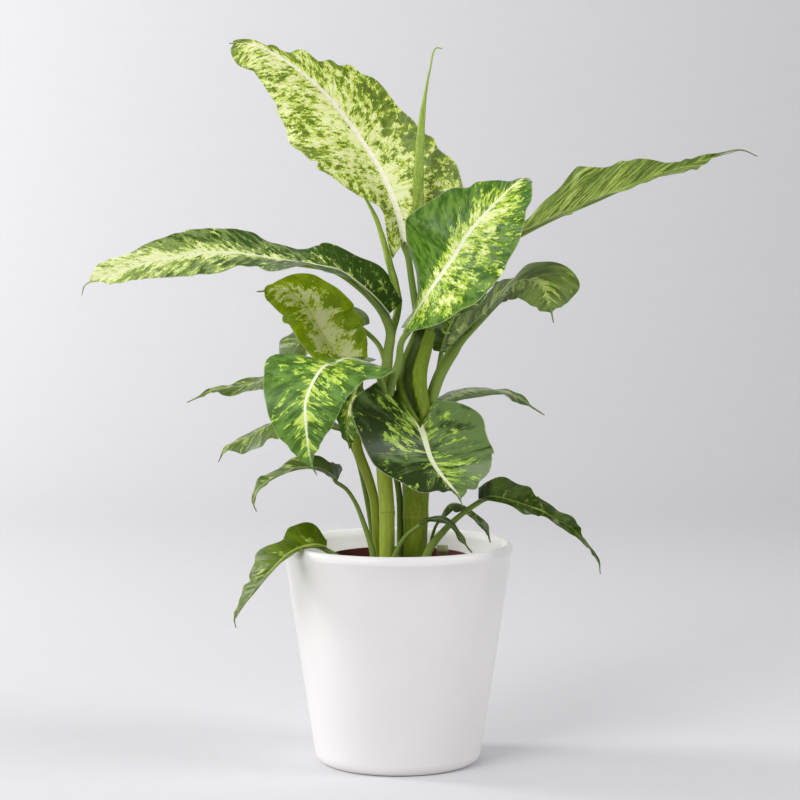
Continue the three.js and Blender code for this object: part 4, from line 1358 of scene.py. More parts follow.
    def frilled(self, share: Array, reach: Array) -> Array:
        """Reach of each place once the margin runs in and out a little."""
        turn = TURN * share * self.curve.length / (0.8 * self.ripple_length)
        swing = np.sin(turn + np.where(reach < 0, 1.3, 0) + 1.7 * np.sin(turn * 0.31))
        held = fade(share, 0.06, 0.2) * (1 - fade(share, 0.8, 0.95))
        depth = np.where(reach < 0, *self.frill) * held * np.abs(reach) ** 3
        return reach * (1 + depth * swing / self.vein_length(share, reach))

    def build(self) -> None:
        """Shape the blade and its stalk, join them and colour them."""
        leaf = Bench.join([self._blade(), self._stalk()])
        Bench.smooth(leaf, 65)
        blade_finish = self.finish.material(f"{self.name}_blade")
        stalk_finish = self.skin.material(f"{self.name}_stalk")
        slots = [0 if face.material_index == 0 else 1 for face in leaf.data.polygons]
        Bench.deliver(leaf, [self.name], self.slot, [blade_finish, stalk_finish])
        leaf.data.polygons.foreach_set("material_index", slots)
        leaf.data.update()

    def _blade(self) -> bpy.types.Object:
        """Shape a grid into the blade and give it its thickness."""
        rows = int(np.clip(self.curve.length / self.row_length, 48, 170))
        blade = Bench.grid(f"{self.name}_leaf", rows, self.columns)
        flat = Bench.places(blade)
        share = np.clip(flat[:, 0] + 0.5, 0, 1)
        reach = np.sign(flat[:, 1]) * np.abs(2 * flat[:, 1]) ** 1.2
        normal = self.normal(share, reach)
        middle = self.middle(share, self.frilled(share, reach)) + normal * self.relief(share, reach)[:, None]
        Bench.move(blade, middle)
        thin = blade.vertex_groups.new(name="thickness")
        for index, value in enumerate(1 - 0.55 * fade(np.abs(reach), 0.8, 1)):
            thin.add([index], float(value), "REPLACE")
        face = blade.data.polygons[len(blade.data.polygons) // 2]
        if face.normal.dot(Vector(normal[face.vertices[0]])) < 0:
            with Bench.editing(blade):
                bpy.ops.mesh.flip_normals()
        Bench.apply(blade, "SOLIDIFY", thickness=self.thickness * MM, offset=0, vertex_group="thickness",
                    thickness_vertex_group=0.0, use_even_offset=False)
        blade.vertex_groups.clear()
        self._mark(blade, share, reach, middle, normal)
        return blade

    def _mark(
        self, blade: bpy.types.Object, share: Array, reach: Array, middle: Array, normal: Array
    ) -> None:
        """Keep at each vertex where it lies on the leaf, for the blade's markings."""
        copies = len(blade.data.vertices) // len(share)
        outward = Bench.places(blade) / MM - np.tile(middle, (copies, 1))
        under = ((outward * np.tile(normal, (copies, 1))).sum(axis=1) < 0).astype(float)
        vein = self.vein_length(share, reach)
        angle = self.vein_angle(share, reach)
        out = np.abs(reach) * vein
        from_rib = out * np.abs(np.sin(angle))
        veins = np.stack([share * self.curve.length, np.sign(reach) * out, from_rib], axis=1)
        places = np.stack([np.tile(share, copies), np.tile(reach, copies), under], axis=1)
        Bench.note(blade, "place", places)
        Bench.note(blade, "veins", np.tile(veins, (copies, 1)))

    def _stalk(self) -> bpy.types.Object:
        """Run the stalk up to the blade and on beneath it as the midrib."""
        root, top = self.stalk_radius
        stations = np.array([0, 0.05, 0.12, 0.22, 0.36, 0.52, 0.68, 0.82, 0.93])
        radii = np.maximum(top * (0.62 + 0.38 * np.exp(-stations / 0.07)) * (1 - stations) ** 0.85, 0.2)
        held_share = stations[-1]
        under = self.curve.read(self.curve.points, stations)
        under = under - self.curve.read(self.upward, stations) * (1.02 * radii + 0.35)[:, None]
        axis = [*self.stalk, *(tuple(point) for point in under)]
        curve = SmoothCurve(axis)
        joint = 1 - (self.curve.length * held_share) / curve.length
        groove = self._groove(curve, joint)

        def radius_at(share: Array, angle: Array) -> Array:
            """Radius of the stalk and midrib, less the gutter."""
            below = root + (top - root) * np.clip(share / joint * 1.25, 0, 1)
            beyond = np.interp((share - joint) / (1 - joint), stations / held_share, radii)
            radius = np.where(share < joint, below, beyond)
            away = (angle - groove + math.pi) % TURN - math.pi
            depth = 0.2 * fade(share, 0.05 * joint, 0.5 * joint) * (1 - fade(share, joint, joint + 0.2))
            return radius * (1 - depth * np.exp(-((away / 0.5) ** 2)))

        steps = int(np.clip(curve.length / 2.4, 40, 150))
        stalk = Bench.tube(f"{self.name}_stalk", curve, radius_at, 20, steps)
        stalk.data.polygons.foreach_set("material_index", [1] * len(stalk.data.polygons))
        Bench.note(stalk, "veins", np.zeros((len(stalk.data.vertices), 3)))
        stalk.data.materials.append(None)
        stalk.data.materials.append(None)
        return stalk

    def _groove(self, curve: SmoothCurve, joint: float) -> float:
        """Turn of the stalk's groove, which runs on from the blade's upper side."""
        at_joint = np.array([joint])
        upward = self.upward[0]
        across = curve.read(curve.across, at_joint)[0]
        up = curve.read(curve.up, at_joint)[0]
        return math.atan2(float(upward.dot(up)), float(upward.dot(across)))


PALE_STALK = StemFinish(foot=(150, 172, 60), top=(178, 196, 88), shade=(104, 132, 36), dashes=0.1)
GREEN_STALK = StemFinish(foot=(110, 132, 28), top=(140, 158, 62), shade=(70, 94, 14))

CANES = (
    Cane(
        name="cane_right",
        axis=(
            (14, 6, 132), (14, 6, 167), (15, 4, 222), (16, 2, 262), (12.5, 1, 290),
            (11, 0, 308), (12.5, 0, 322), (17.5, 2, 338), (22, 4, 352),
        ),
        radii=(9.6, 9.6, 9.8, 10.4, 12, 13.4, 13.2, 11.4, 8.8),
        rings=(201, 246),
        edges=(
            SheathEdge(start=(0.3, 222), end=(0.1, 290), step=0.8),
        ),
        gap=SheathGap(foot=(0.18, 276), turns=(0.262, 0.46), top=323, depth=3.4),
        finish=StemFinish(
            foot=(124, 142, 28), top=(120, 144, 24), shade=(66, 90, 0), rings=(69, 114), seed=2.0
        ),
    ),
    Cane(
        name="cane_left",
        axis=(
            (-9, -14, 132), (-9, -14, 170), (-9, -13, 208), (-11, -10, 240), (-11, -8, 272),
            (-10, -8, 317),
        ),
        radii=(6.4, 6.3, 6.1, 6.2, 6.6, 6.0),
        rings=(206, 251),
        edges=(SheathEdge(start=(0.2, 250), end=(0.34, 316), step=0.8),),
        finish=StemFinish(
            foot=(156, 172, 54), top=(170, 186, 72), shade=(96, 116, 20), rings=(74, 119), seed=5.0
        ),
        around=48,
        steps=170,
    ),
    Cane(
        name="cane_side",
        axis=(
            (-15, 6, 139), (-16, 5, 167), (-18, 2, 198), (-20, 0, 217), (-25, -3, 235),
            (-32, -6, 254), (-35, -6, 272),
        ),
        radii=(3.8, 3.8, 3.7, 3.7, 3.8, 4.2, 3.8),
        finish=StemFinish(foot=(150, 164, 44), top=(158, 172, 58), shade=(92, 110, 14), seed=9.0),
        around=36,
        steps=120,
    ),
)

ROLL_SKIN = StemFinish(
    foot=(132, 158, 54),
    top=(162, 186, 76),
    shade=(84, 116, 30),
    light=(208, 222, 128),
    streaks=0.6,
    dashes=0.6,
)

SPEARS = (
    Spear(
        name="spear_right",
        axis=(
            (23, 4, 344), (19, 2, 393), (17, 0, 437), (17, 0, 482), (19.3, 0, 524),
            (25.4, 0, 561), (30.4, 0, 579), (35.5, 0, 578.5),
        ),
        radii=(3.2, 3.6, 4, 4.6, 4.1, 2.8, 1, 0.5),
        turns=1.6,
        finish=ROLL_SKIN,
    ),
    Spear(
        name="spear_left",
        axis=((-10, -6, 305), (-5, 8, 349), (0, 12, 374), (-7, 12, 407), (-17, 14, 440), (-29, 16, 464)),
        radii=(2.8, 3.0, 3.2, 3.0, 2.2, 0.8),
        turns=1.2,
        finish=ROLL_SKIN,
    ),
)

LEAVES = (
    Leaf(
        name="leaf_top",
        stalk=((22, 4, 335), (16, 7, 362), (11, 8, 393), (8, 8, 412)),
        stalk_radius=(3.4, 2.6),
        rib=(
            (5, 8, 424), (-3.9, 20, 456.5), (-22, 40, 493.6), (-70.5, 60, 555.2),
            (-118.6, 75, 586.3), (-141, 85, 588),
        ),
        face=((0.3, -0.82, 0.4), (0.2, -0.82, 0.54), (-0.36, -0.93, 0.1), (-0.4, -0.65, -0.4)),
        half=(40, 58),
        fold=29.2,
        lobe=0.8,
        widest=0.21,
        veins=(128, 40),
        taper=0.5,
        tail=0.02,
        wave=(3.22, 2.22, 4.56),
        scallop=0.06,
        finish=LeafFinish(
            Tone.YOUNG, seed=1.3, cream=0.65, core=0.14, spread=0.22, lean=-0.12, lime_band=0.15,
            stretch=0.68, fineness=1.5, rib=3.2, rib_end=0.9, quiet=0.08, quiet_at=(0.1, 0.9),
            sheen=0.4, relief=0.85, midrib=(248, 245, 226),
        ),
        skin=PALE_STALK,
        trim=(
            (0.88, 0.52, 1.93, 1.63, 1.5, 1.19, 1.32, 1.52, 1.23),
            (1.16, 1.03, 0.86, 0.78, 0.8, 0.57, 0.39, 0.19, 0.53),
        ),
        slot="leaf_cream",
        quilt=0.8,
        quilt_spacing=6.0,
        ripple=1.5,
        ripple_length=25,
        frill=(0.3, 1.3),
    ),
    Leaf(
        name="leaf_front_upper",
        stalk=((-8, -9, 300), (-4.5, -14, 313), (0.5, -19, 329), (2.5, -24, 344)),
        stalk_radius=(4.2, 2.8),
        rib=(
            (7, -30, 357), (27.4, -44, 389), (44.5, -52, 413.8), (55, -52, 431),
            (97.7, -46, 473.9), (104, -38, 474),
        ),
        face=((-0.85, -0.05, 0.55), (-0.25, -0.95, 0.1), (-0.45, -0.5, 0.7)),
        half=(59, 36),
        fold=0.1,
        lobe=0.45,
        widest=0.37,
        veins=(132, 40),
        taper=0.5,
        tail=0.06,
        wave=(3.23, 2.69, 1.18),
        scallop=0.02,
        finish=LeafFinish(
            Tone.FRESH, seed=4.1, cream=0.54, core=0.16, spread=0.36, lean=0.18, lime_band=0.2, fineness=1.45,
            rib=2.2, rib_end=0.9, quiet=0.6, quiet_at=(0.3, -0.75),
        ),
        skin=PALE_STALK,
        trim=(
            (1.73, 0.9, 0.89, 0.88, 0.81, 0.67, 0.55, 0.45, 0.2),
            (0.36, 1.04, 1.16, 1.17, 1.26, 1.28, 1.34, 0.99, 0.49),
        ),
        skew=-15.1,
    ),
    Leaf(
        name="leaf_long_left",
        stalk=((-10, -8, 309), (-8, -6, 333), (-6, -5, 351)),
        stalk_radius=(5, 4),
        rib=(
            (-7, -8, 366), (-19.3, -14, 380.4), (-45, -22, 400.6), (-57.5, -32, 404.6),
            (-94, -42, 410.8), (-139.9, -50, 416.3), (-189, -56, 410.4), (-220, -58, 400.4),
            (-245.5, -56, 391), (-249, -52, 383),
        ),
        face=((0.8, -0.4, 0.45), (0.3, -0.15, 0.95), (0.05, -0.85, 0.55), (-0.35, -0.95, 0.05)),
        half=(39, 34),
        fold=13.9,
        lobe=0.72,
        widest=0.31,
        veins=(102, 30),
        taper=0.55,
        tail=0.06,
        wave=(2.52, 2.57, 4.89),
        scallop=0,
        finish=LeafFinish(
            Tone.PALING, seed=7.7, cream=0.53, core=0.12, spread=0.16, drift=0.75, lean=0.24, fade=0.45,
            lime_band=0.14, stretch=0.7, fineness=1.15, rib=1.4, rib_end=0.9, quiet=0.26, quiet_at=(0.5, 0.7),
        ),
        skin=PALE_STALK,
        trim=(
            (0.37, 0.71, 0.47, 1.06, 1.31, 0.94, 1.11, 0.98, 0.91, 0.87, 0.9, 0.57, 0.65),
            (0.96, 1.24, 0.85, 0.77, 0.8, 1.01, 0.9, 0.93, 0.98, 1.01, 1.39, 1.14, 1.2),
        ),
        slot="leaf_cream",
    ),
    Leaf(
        name="leaf_mid_left",
        stalk=((-36, -4, 267), (-33, 6, 292), (-31, 12, 310)),
        stalk_radius=(3, 2.6),
        rib=(
            (-33, 19, 324), (-48.9, 20, 331.6), (-64.7, 16, 354), (-73.7, 8, 371.8),
            (-91.1, -2, 385.3), (-113.3, -10, 384),
        ),
        face=((0.55, -0.75, 0.35), (0.45, -0.9, -0.05), (0.05, -0.95, -0.35)),
        half=(34, 35),
        fold=35.6,
        lobe=0.3,
        widest=0.35,
        veins=(111, 42),
        taper=0.7,
        tail=0.06,
        wave=(2.24, 3.18, -0.57),
        scallop=0.05,
        finish=LeafFinish(
            Tone.BACKLIT, seed=11.2, cream=0.62, core=0.16, spread=0.5, lime_band=0.14, stretch=0.75,
            fineness=0.9, rib=1.3, midrib=(236, 238, 170),
        ),
        skin=PALE_STALK,
        trim=(
            (0.95, 1.02, 1.13, 1.09, 1.05, 1.13, 1.15, 1.13, 1.57),
            (1.01, 1.33, 1.06, 0.99, 1.03, 1.04, 0.9, 0.8, 1.15),
        ),
        skew=-7.6,
        slot="leaf_cream",
    ),
    Leaf(
        name="leaf_front_left",
        stalk=((-10, -9, 298), (-13, -15, 311), (-18, -20, 321)),
        stalk_radius=(3.6, 2.8),
        rib=(
            (-24, -24, 328), (-39.8, -38, 332.3), (-49.6, -50, 329.3), (-59.4, -60, 325.8),
            (-71.7, -68, 302.4), (-72.1, -72, 283.2), (-67.5, -70, 249.9), (-64, -66, 242),
        ),
        face=((-0.1, -0.35, 0.95), (-0.5, -0.75, 0.45), (-0.2, -0.95, -0.1)),
        half=(36, 44),
        fold=-0.2,
        lobe=0.62,
        widest=0.36,
        veins=(138, 43),
        taper=0.95,
        tail=0.06,
        wave=(1.5, 2.2, 2),
        scallop=0.03,
        finish=LeafFinish(
            Tone.GROWN, seed=15.9, cream=0.42, core=0.14, spread=0.22, stretch=1.5, fineness=1.3,
            rib=2.0, rib_end=0.72,
        ),
        skin=PALE_STALK,
        trim=(
            (0.97, 1.17, 1.6, 1.12, 1.08, 0.93, 0.81, 0.56, 0.45),
            (1.54, 0.14, 0.34, 1.19, 0.95, 0.91, 0.9, 0.83, 1.08),
        ),
    ),
    Leaf(
        name="leaf_front_lower",
        stalk=((15, 4, 222), (15, -12, 242), (17, -22, 260)),
        stalk_radius=(3.8, 2.8),
        rib=(
            (18, -25, 275), (20, -30, 270.3), (26.1, -38, 251.7), (34.3, -48, 239.6),
            (47.6, -56, 224.4), (51, -62, 216),
        ),
        face=((0.4, -0.68, 0.6), (0.32, -0.68, 0.66), (0.6, -0.5, 0.55)),
        half=(54, 66),
        fold=7.9,
        lobe=0.62,
        widest=0.22,
        veins=(156, 42),
        taper=1.35,
        tail=0.06,
        wave=(2.5, 2.4, 0.6),
        scallop=0.02,
        finish=LeafFinish(
            Tone.BROAD, seed=20.3, cream=0.38, core=0.12, spread=0.2, lean=0.08, tilt=-0.14, lime_band=0.14,
            stretch=2.2, fineness=1.6, rib=2.8, rib_end=0.7,
        ),
        skin=GREEN_STALK,
        trim=(
            (1.08, 1.25, 1.03, 1.06, 1.28, 1.02, 0.76, 0.66, 0.67),
            (1.2, 1.01, 1.01, 0.96, 0.8, 0.49, 0.19, 0.88, 1.46),
        ),
        skew=-9.9,
    ),
    Leaf(
        name="leaf_long_right",
        stalk=((24, 4, 346), (34, 16, 379), (54, 28, 404), (76, 36, 418)),
        stalk_radius=(3.6, 2.8),
        rib=(
            (90, 40, 426), (110, 46, 435.1), (130.6, 58, 444.3), (161.4, 68, 456.4),
            (204.5, 78, 474), (245, 82, 486.9), (286, 82, 499.2), (300, 78, 494),
        ),
        face=((-0.15, -0.55, 0.85), (-0.2, -0.55, 0.85), (-0.05, -0.85, 0.5)),
        half=(34, 40),
        fold=32.2,
        lobe=0.05,
        widest=0.28,
        veins=(55, 50),
        taper=1.8,
        tail=0.06,
        wave=(2.38, 3.67, 0.4),
        scallop=0.07,
        finish=LeafFinish(
            Tone.STREAKED, seed=23.5, cream=0.44, core=0.08, spread=0.06, lime_band=0.18, sweep=1.3,
            stretch=1.8, fineness=1.3, rib=0.9, midrib=(164, 182, 104),
        ),
        skin=GREEN_STALK,
        trim=(
            (0.7, 0.76, 0.79, 1.11, 1.11, 0.97, 0.95, 0.78, 0.77, 0.68, 0.72, 0.86, 1),
            (2.12, 1.3, 0.66, 0.4, 0.38, 0.26, 0.65, 1.47, 1.5, 1.23, 1.28, 1.2, 1.09),
        ),
    ),
    Leaf(
        name="leaf_mid_right",
        stalk=((17.5, 6, 266), (25, 8.5, 290), (34, 9, 316)),
        stalk_radius=(5.4, 5),
        rib=(
            (43, 6, 341), (64.9, 2, 362.1), (80.6, -6, 378.3), (98, -18, 393.3),
            (113.6, -32, 390.3), (120.7, -42, 372), (123, -46, 361),
        ),
        face=((-0.8, -0.4, 0.4), (-0.55, -0.2, 0.8), (0.55, -0.8, 0.25)),
        half=(35, 35),
        fold=-0.9,
        lobe=0.3,
        widest=0.58,
        veins=(94, 45),
        taper=1.05,
        tail=0.06,
        wave=(0.96, 2.74, 2.11),
        scallop=0.06,
        finish=LeafFinish(
            Tone.GREYED, seed=27.1, cream=0.4, core=0.16, spread=0.24, drift=-0.1, stretch=1.6, rib=0.9,
            sheen=0.52, midrib=(160, 178, 100),
        ),
        skin=GREEN_STALK,
        trim=(
            (0.86, 1.59, 0.95, 1.21, 0.96, 0.89, 1.1, 1.05, 0.99, 0.86, 0.87),
            (0.51, 0.23, 0.23, 0.42, 1.02, 0.83, 0.89, 0.95, 0.99, 1.1, 1.04),
        ),
    ),
    Leaf(
        name="leaf_small_right",
        stalk=((21, 8, 256), (25, 16, 270), (31, 25, 284)),
        stalk_radius=(2.6, 2),
        rib=(
            (35, 30, 292), (55, 44, 299), (77, 58, 300), (98, 68, 294), (113, 74, 284),
            (123, 76, 277),
        ),
        face=((-0.15, -0.25, 0.95), (0.15, 0, 1), (0.55, -0.6, 0.6)),
        half=(23, 20),
        fold=-6,
        lobe=0.4,
        widest=0.37,
        veins=(94, 38),
        taper=1.2,
        tail=0.06,
        wave=(1, 2.9, 0.23),
        scallop=0.03,
        finish=LeafFinish(Tone.DULL, seed=74.3, cream=0.36, rib=0.7, midrib=(170, 184, 116)),
        skin=GREEN_STALK,
    ),
    Leaf(
        name="leaf_low_right",
        stalk=((19, -9, 151), (25, -9, 174), (38, -9, 191), (52, -10, 204)),
        stalk_radius=(4.2, 2.2),
        rib=(
            (65, -12, 216), (77.8, -26, 220), (113.7, -42, 211), (122, -54, 207.5),
            (140.3, -60, 196.4), (157.8, -62, 173.9), (160, -62, 163),
        ),
        face=((-0.6, -0.4, 0.7), (-0.5, -0.85, 0), (0.9, -0.35, 0.3)),
        half=(13, 17),
        fold=35.2,
        lobe=0.8,
        widest=0.29,
        veins=(85, 32),
        taper=1.25,
        tail=0.06,
        wave=(1.68, 3.76, -2.94),
        scallop=0.07,
        finish=LeafFinish(
            Tone.SHADED, seed=78.0, cream=0.3, core=0.06, spread=0.1, rib=0.6, midrib=(124, 142, 66),
        ),
        skin=GREEN_STALK,
        trim=(
            (0.86, 1.13, 1.45, 1.51, 1.35, 1.52, 1.19, 1.52, 1.13, 0.5, 0.99, 1.05, 1.04),
            (0.09, 0.49, 0.5, 0.46, 0.59, 0.42, 0.28, 0.63, 1.05, 1.73, 1.51, 1.17, 0.94),
        ),
    ),
    Leaf(
        name="leaf_over_rim",
        stalk=((-28, -18, 154), (-38, -27, 164), (-46.5, -33.5, 171.4)),
        stalk_radius=(2.8, 2.2),
        rib=(
            (-57, -40, 181), (-66.8, -46, 184), (-84.8, -54, 179.3), (-102.5, -62, 163.5),
            (-110.6, -66, 153.6), (-128.7, -68, 128), (-128, -68, 121),
        ),
        face=((0.3, -0.45, 0.85), (-0.65, -0.25, 0.7), (-0.95, -0.1, 0.25)),
        half=(24, 22),
        fold=16.5,
        lobe=0.25,
        widest=0.4,
        veins=(103, 40),
        taper=1.1,
        tail=0.06,
        wave=(1.54, 3.67, 5.31),
        scallop=0,
        finish=LeafFinish(
            Tone.RIM, seed=35.5, cream=0.26, core=0.05, spread=0.1, rib=1.0, midrib=(176, 190, 92),
        ),
        skin=GREEN_STALK,
        trim=(
            (0.26, 0.59, 0.02, 0.43, 1.07, 1.49, 1.3, 0.48, 0.39, 1.37, 1.06, 0.63, 0.71),
            (1.28, 1.87, 1.46, 0.91, 1.39, 1.11, 1.13, 1.1, 1.03, 1.31, 1.67, 1.4, 1.06),
        ),
    ),
    Leaf(
        name="leaf_low_left",
        stalk=((-18, -12, 152), (-21, -12, 175), (-28, -10, 197), (-34, -9, 212), (-42, -8, 224)),
        stalk_radius=(3, 1.7),
        rib=(
            (-49, -8, 231), (-53, -16, 236.7), (-65.1, -24, 243.5), (-82.3, -32, 243.3),
            (-93.1, -38, 239.5), (-110.2, -42, 229.3), (-115, -42, 216.3), (-113, -40, 210),
        ),
        face=((0.7, -0.45, 0.55), (-0.3, -0.05, 0.95), (-0.85, -0.35, -0.35)),
        half=(17, 22),
        fold=8.3,
        lobe=0.45,
        widest=0.32,
        veins=(124, 41),
        taper=0.75,
        tail=0.06,
        wave=(0.62, 3.48, -0.51),
        scallop=0.07,
        finish=LeafFinish(
            Tone.DULL, seed=38.8, cream=0.3, core=0.05, spread=0.1, rib=0.7, midrib=(176, 190, 92),
        ),
        skin=PALE_STALK,
        trim=(
            (0.02, 0.22, 0.59, 0.97, 1.2, 1.17, 0.97, 0.98, 0.91, 0.83, 0.91, 1.03, 1.06),
            (2.16, 1, 0.7, 0.78, 0.97, 0.9, 0.8, 1.06, 0.83, 0.87, 0.98, 0.96, 0.98),
        ),
    ),
    Leaf(
        name="leaf_thin_left",
        stalk=((2, 10, 153), (2, 9.5, 188), (0.5, 9.5, 221), (-7, 12, 252), (-24, 19, 292)),
        stalk_radius=(3.2, 2),
        rib=(
            (-44, 26, 312), (-73, 42, 316), (-102, 54, 311), (-128, 64, 303), (-154, 70, 299),
            (-177, 72, 288),
        ),
        face=((-0.05, -0.3, 0.95), (-0.4, -0.2, 0.9), (-0.45, -0.4, 0.8)),
        half=(25, 19),
        fold=-2,
        lobe=0.3,
        widest=0.35,
        veins=(92, 41),
        taper=1.05,
        tail=0.06,
        wave=(1.54, 3.49, 1.61),
        scallop=0.05,
        finish=LeafFinish(
            Tone.DULL, seed=89.1, cream=0.4, core=0.1, spread=0.1, rib=0.6, midrib=(180, 196, 110),
        ),
        skin=PALE_STALK,
    ),
    Leaf(
        name="leaf_lower_left",
        stalk=((-20, 18, 152), (-21, 15, 182), (-27, 12, 221), (-35, 9, 252)),
        stalk_radius=(2.4, 2),
        rib=(
            (-45, 6, 273), (-60, 14, 281), (-80, 22, 283), (-99, 30, 276), (-124, 38, 262),
            (-143, 42, 252), (-149, 42, 241),
        ),
        face=((0.45, -0.1, 0.9), (-0.45, -0.2, 0.85), (-0.7, -0.55, 0.4)),
        half=(24, 23),
        fold=-19,
        lobe=0.3,
        widest=0.39,
        veins=(113, 39),
        taper=0.85,
        tail=0.06,
        wave=(1.54, 2.95, 3.24),
        scallop=0.07,
        finish=LeafFinish(
            Tone.DULL, seed=92.8, cream=0.38, core=0.06, spread=0.1, stretch=1.6, rib=0.7,
            midrib=(150, 166, 60),
        ),
        skin=GREEN_STALK,
    ),
    Leaf(
        name="leaf_back_left",
        stalk=((-7, 0, 296), (-9, 10, 318), (-16, 26, 339)),
        stalk_radius=(2.6, 2),
        rib=((-30, 36, 354), (-44, 50, 360), (-63, 62, 355), (-86, 70, 338), (-102, 74, 323)),
        face=((0, -0.4, 0.9), (-0.2, -0.5, 0.8), (-0.5, -0.5, 0.6)),
        half=(28, 28),
        fold=0,
        lobe=0.3,
        widest=0.5,
        veins=(95, 40),
        taper=0.7,
        tail=0.06,
        wave=(2, 3, 0),
        scallop=0.04,
        finish=LeafFinish(
            Tone.DULL, seed=96.5, cream=0.22, core=0.05, spread=0.1, rib=0.8, midrib=(130, 152, 74),
        ),
        skin=GREEN_STALK,
    ),
    Leaf(
        name="leaf_behind_fork",
        stalk=((-35, -6, 267), (-30, 0, 288), (-29, -5, 301)),
        stalk_radius=(2.2, 1.8),
        rib=((-32, -12, 308), (-37, -16, 299), (-41, -20, 285), (-41, -20, 272), (-39, -18, 258)),
        face=((-0.75, -0.35, 0.55), (-0.65, -0.75, 0.15), (-0.1, -1, -0.15)),
        half=(17, 10),
        fold=22,
        lobe=0.25,
        widest=0.39,
        veins=(90, 37),
        taper=0.95,
        tail=0.06,
        wave=(0.98, 3.44, -1.42),
        scallop=0.06,
        finish=LeafFinish(
            Tone.FRESH, seed=31.9, cream=0.52, core=0.1, spread=0.2, rib=1.2, midrib=(176, 190, 92),
        ),
        skin=GREEN_STALK,
    ),
    Leaf(
        name="leaf_back_right",
        stalk=((22, 12, 280), (28, 20, 298), (33, 28, 318)),
        stalk_radius=(2.6, 2),
        rib=((35, 34, 333), (43, 44, 354), (56, 52, 375), (71, 56, 386), (87, 58, 390)),
        face=((-0.3, -0.8, 0.5), (-0.1, -0.7, 0.7), (0.3, -0.6, 0.7)),
        half=(20, 20),
        fold=10,
        lobe=0.3,
        widest=0.38,
        veins=(95, 40),
        taper=1,
        tail=0.06,
        wave=(2, 3, 0),
        scallop=0.04,
        finish=LeafFinish(
            Tone.OLD, seed=103.9, cream=0.34, core=0.1, spread=0.1, rib=0.7, midrib=(150, 166, 90),
        ),
        skin=GREEN_STALK,
    ),
    Leaf(
        name="leaf_basal_front",
        stalk=((-7, -18, 151), (-2, -19, 173), (6, -21, 187)),
        stalk_radius=(3.4, 1.8),
        rib=(
            (17, -26, 199), (27, -32, 203), (38, -36, 202), (48, -40, 193), (54, -42, 183),
            (59, -42, 177),
        ),
        face=((-0.45, -0.15, 0.85), (0.5, -0.35, 0.8), (0.6, -0.6, 0.5)),
        half=(7, 7),
        fold=-2,
        lobe=0.35,
        widest=0.4,
        veins=(95, 42),
        taper=1,
        tail=0.06,
        wave=(0.56, 2.79, 4.84),
        scallop=0.05,
        finish=LeafFinish(
            Tone.SHADED, seed=107.6, cream=0.2, core=0.0, spread=0.1, rib=0.6, midrib=(120, 136, 54),
        ),
        skin=PALE_STALK,
    ),
    Leaf(
        name="leaf_basal_back",
        stalk=((24, 22, 155), (27, 18, 177), (31, 9, 192)),
        stalk_radius=(1.9, 1.3),
        rib=((35, 0, 201), (42, 2, 210), (52, 2, 210), (62, 0, 204), (71, -2, 195), (75, -4, 180)),
        face=((-0.75, -0.2, 0.6), (0.6, -0.1, 0.8), (0.6, -0.75, 0.25)),
        half=(11, 12),
        fold=-19,
        lobe=0.4,
        widest=0.36,
        veins=(98, 40),
        taper=1,
        tail=0.06,
        wave=(0.27, 2.97, 2.92),
        scallop=0.05,
        finish=LeafFinish(
            Tone.SHADED, seed=111.3, cream=0.2, core=0.0, spread=0.1, rib=0.5, midrib=(104, 122, 54),
        ),
        skin=GREEN_STALK,
    ),
)


# ---------------------------------------------------------------------------------- the studio


@dataclass(frozen=True)
class SoftBox:
    """A square soft light, its place and aim in metres."""

    name: str
    place: Point
    aim: Point
    size: float
    watts: float
    colour: Colour = (1.0, 1.0, 1.0)

    def hang(self) -> None:
        """Hang the light and point it."""
        lamp = bpy.data.lights.new(self.name, "AREA")
        lamp.shape = "SQUARE"
        lamp.size = self.size
        lamp.energy = self.watts
        lamp.color = self.colour
        holder = bpy.data.objects.new(self.name, lamp)
        bpy.context.scene.collection.objects.link(holder)
        holder.location = self.place
        aim = Vector(self.aim) - Vector(self.place)
        holder.rotation_euler = aim.to_track_quat("-Z", "Y").to_euler()


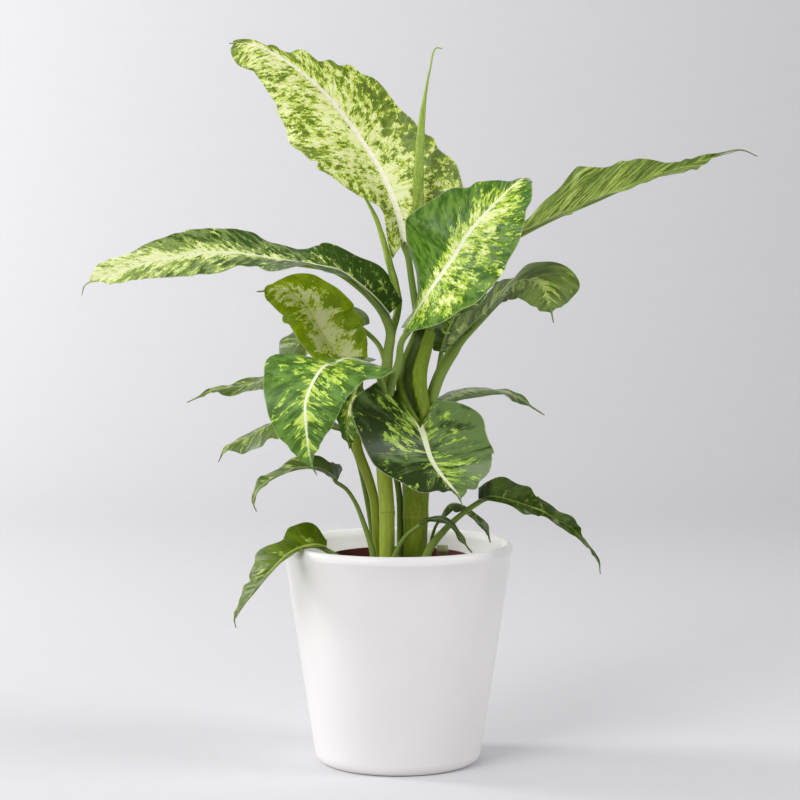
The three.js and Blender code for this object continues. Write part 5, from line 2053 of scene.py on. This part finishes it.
@dataclass
class Studio:
    """A pale sweep, soft lights and the camera."""

    camera_place: Point = (0.0016, -2.03, 0.458)
    pitch_down: float = 4.57
    lens: float = 112.95
    sensor: float = 36.0
    world: float = 0.24
    lights: tuple[SoftBox, ...] = (
        SoftBox("front_left_box", (-1.3, -2.0, 1.7), (0, 0, 0.3), 1.2, 32),
        SoftBox("left_box", (-1.9, -1.2, 1.5), (0, 0, 0.3), 1.2, 10),
        SoftBox("right_box", (1.8, -0.6, 1.2), (0, 0, 0.3), 1.0, 17),
        SoftBox("top_box", (-0.2, 0.3, 2.1), (0, 0, 0.2), 1.4, 6),
        SoftBox("wall_box", (-2.4, 0.7, 1.2), (0.3, 2.9, 0.3), 1.2, 55),
    )
    sweep: GroundFinish = GroundFinish(
        ground=(226, 225, 227),
        drift=(225, 224, 226),
        roughness=0.9,
        surface=Surface(specular=0.1, relief=0.0),
    )

    def build(self) -> None:
        """Set up the room, the lights and the camera."""
        self._sweep()
        for light in self.lights:
            light.hang()
        world = bpy.data.worlds.new("studio_air")
        world.use_nodes = True
        world.node_tree.nodes["Background"].inputs["Color"].default_value = (0.97, 0.98, 1.0, 1.0)
        world.node_tree.nodes["Background"].inputs["Strength"].default_value = self.world
        bpy.context.scene.world = world
        bpy.context.scene.view_settings.view_transform = "Standard"
        self._camera()

    def _sweep(self) -> None:
        """Lay the floor and sweep it up behind the plant."""
        Bench.clear()
        bpy.ops.mesh.primitive_grid_add(x_subdivisions=8, y_subdivisions=60, size=1)
        sweep = Bench.named("studio_sweep")
        places = Bench.places(sweep)
        x = places[:, 0] * 9
        run = (places[:, 1] + 0.5) * 9 - 4
        bend, radius = 1.6, 1.2
        angle = np.clip((run - bend) / radius, 0, math.pi / 2)
        wall = np.maximum(run - bend - radius * math.pi / 2, 0)
        y = np.minimum(run, bend) + radius * np.sin(angle)
        z = radius * (1 - np.cos(angle)) + wall
        Bench.move(sweep, np.stack([x, y, z], axis=1) / MM)
        Bench.smooth(sweep, 60)
        sweep.data.materials.append(self.sweep.material("studio_paper"))

    def _camera(self) -> None:
        """Place the camera."""
        lens = bpy.data.cameras.new("studio_camera")
        lens.lens = self.lens
        lens.sensor_width = self.sensor
        lens.dof.use_dof = False
        lens.clip_end = 50
        camera = bpy.data.objects.new("studio_camera", lens)
        bpy.context.scene.collection.objects.link(camera)
        camera.location = self.camera_place
        camera.rotation_euler = (math.radians(90 - self.pitch_down), 0, 0)
        bpy.context.scene.camera = camera


# ---------------------------------------------------------------------------------- the plant


def main() -> None:
    """Load the frame, build every piece in order and set up the studio."""
    logging.basicConfig(level=logging.INFO, format="%(name)s %(message)s")
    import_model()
    Planter().build()
    NurseryPot().build()
    Soil().build()
    for cane in CANES:
        cane.build()
    CutStub().build()
    for spear in SPEARS:
        spear.build()
    for leaf in LEAVES:
        leaf.build()
    Studio().build()


if __name__ == "__main__":
    main()
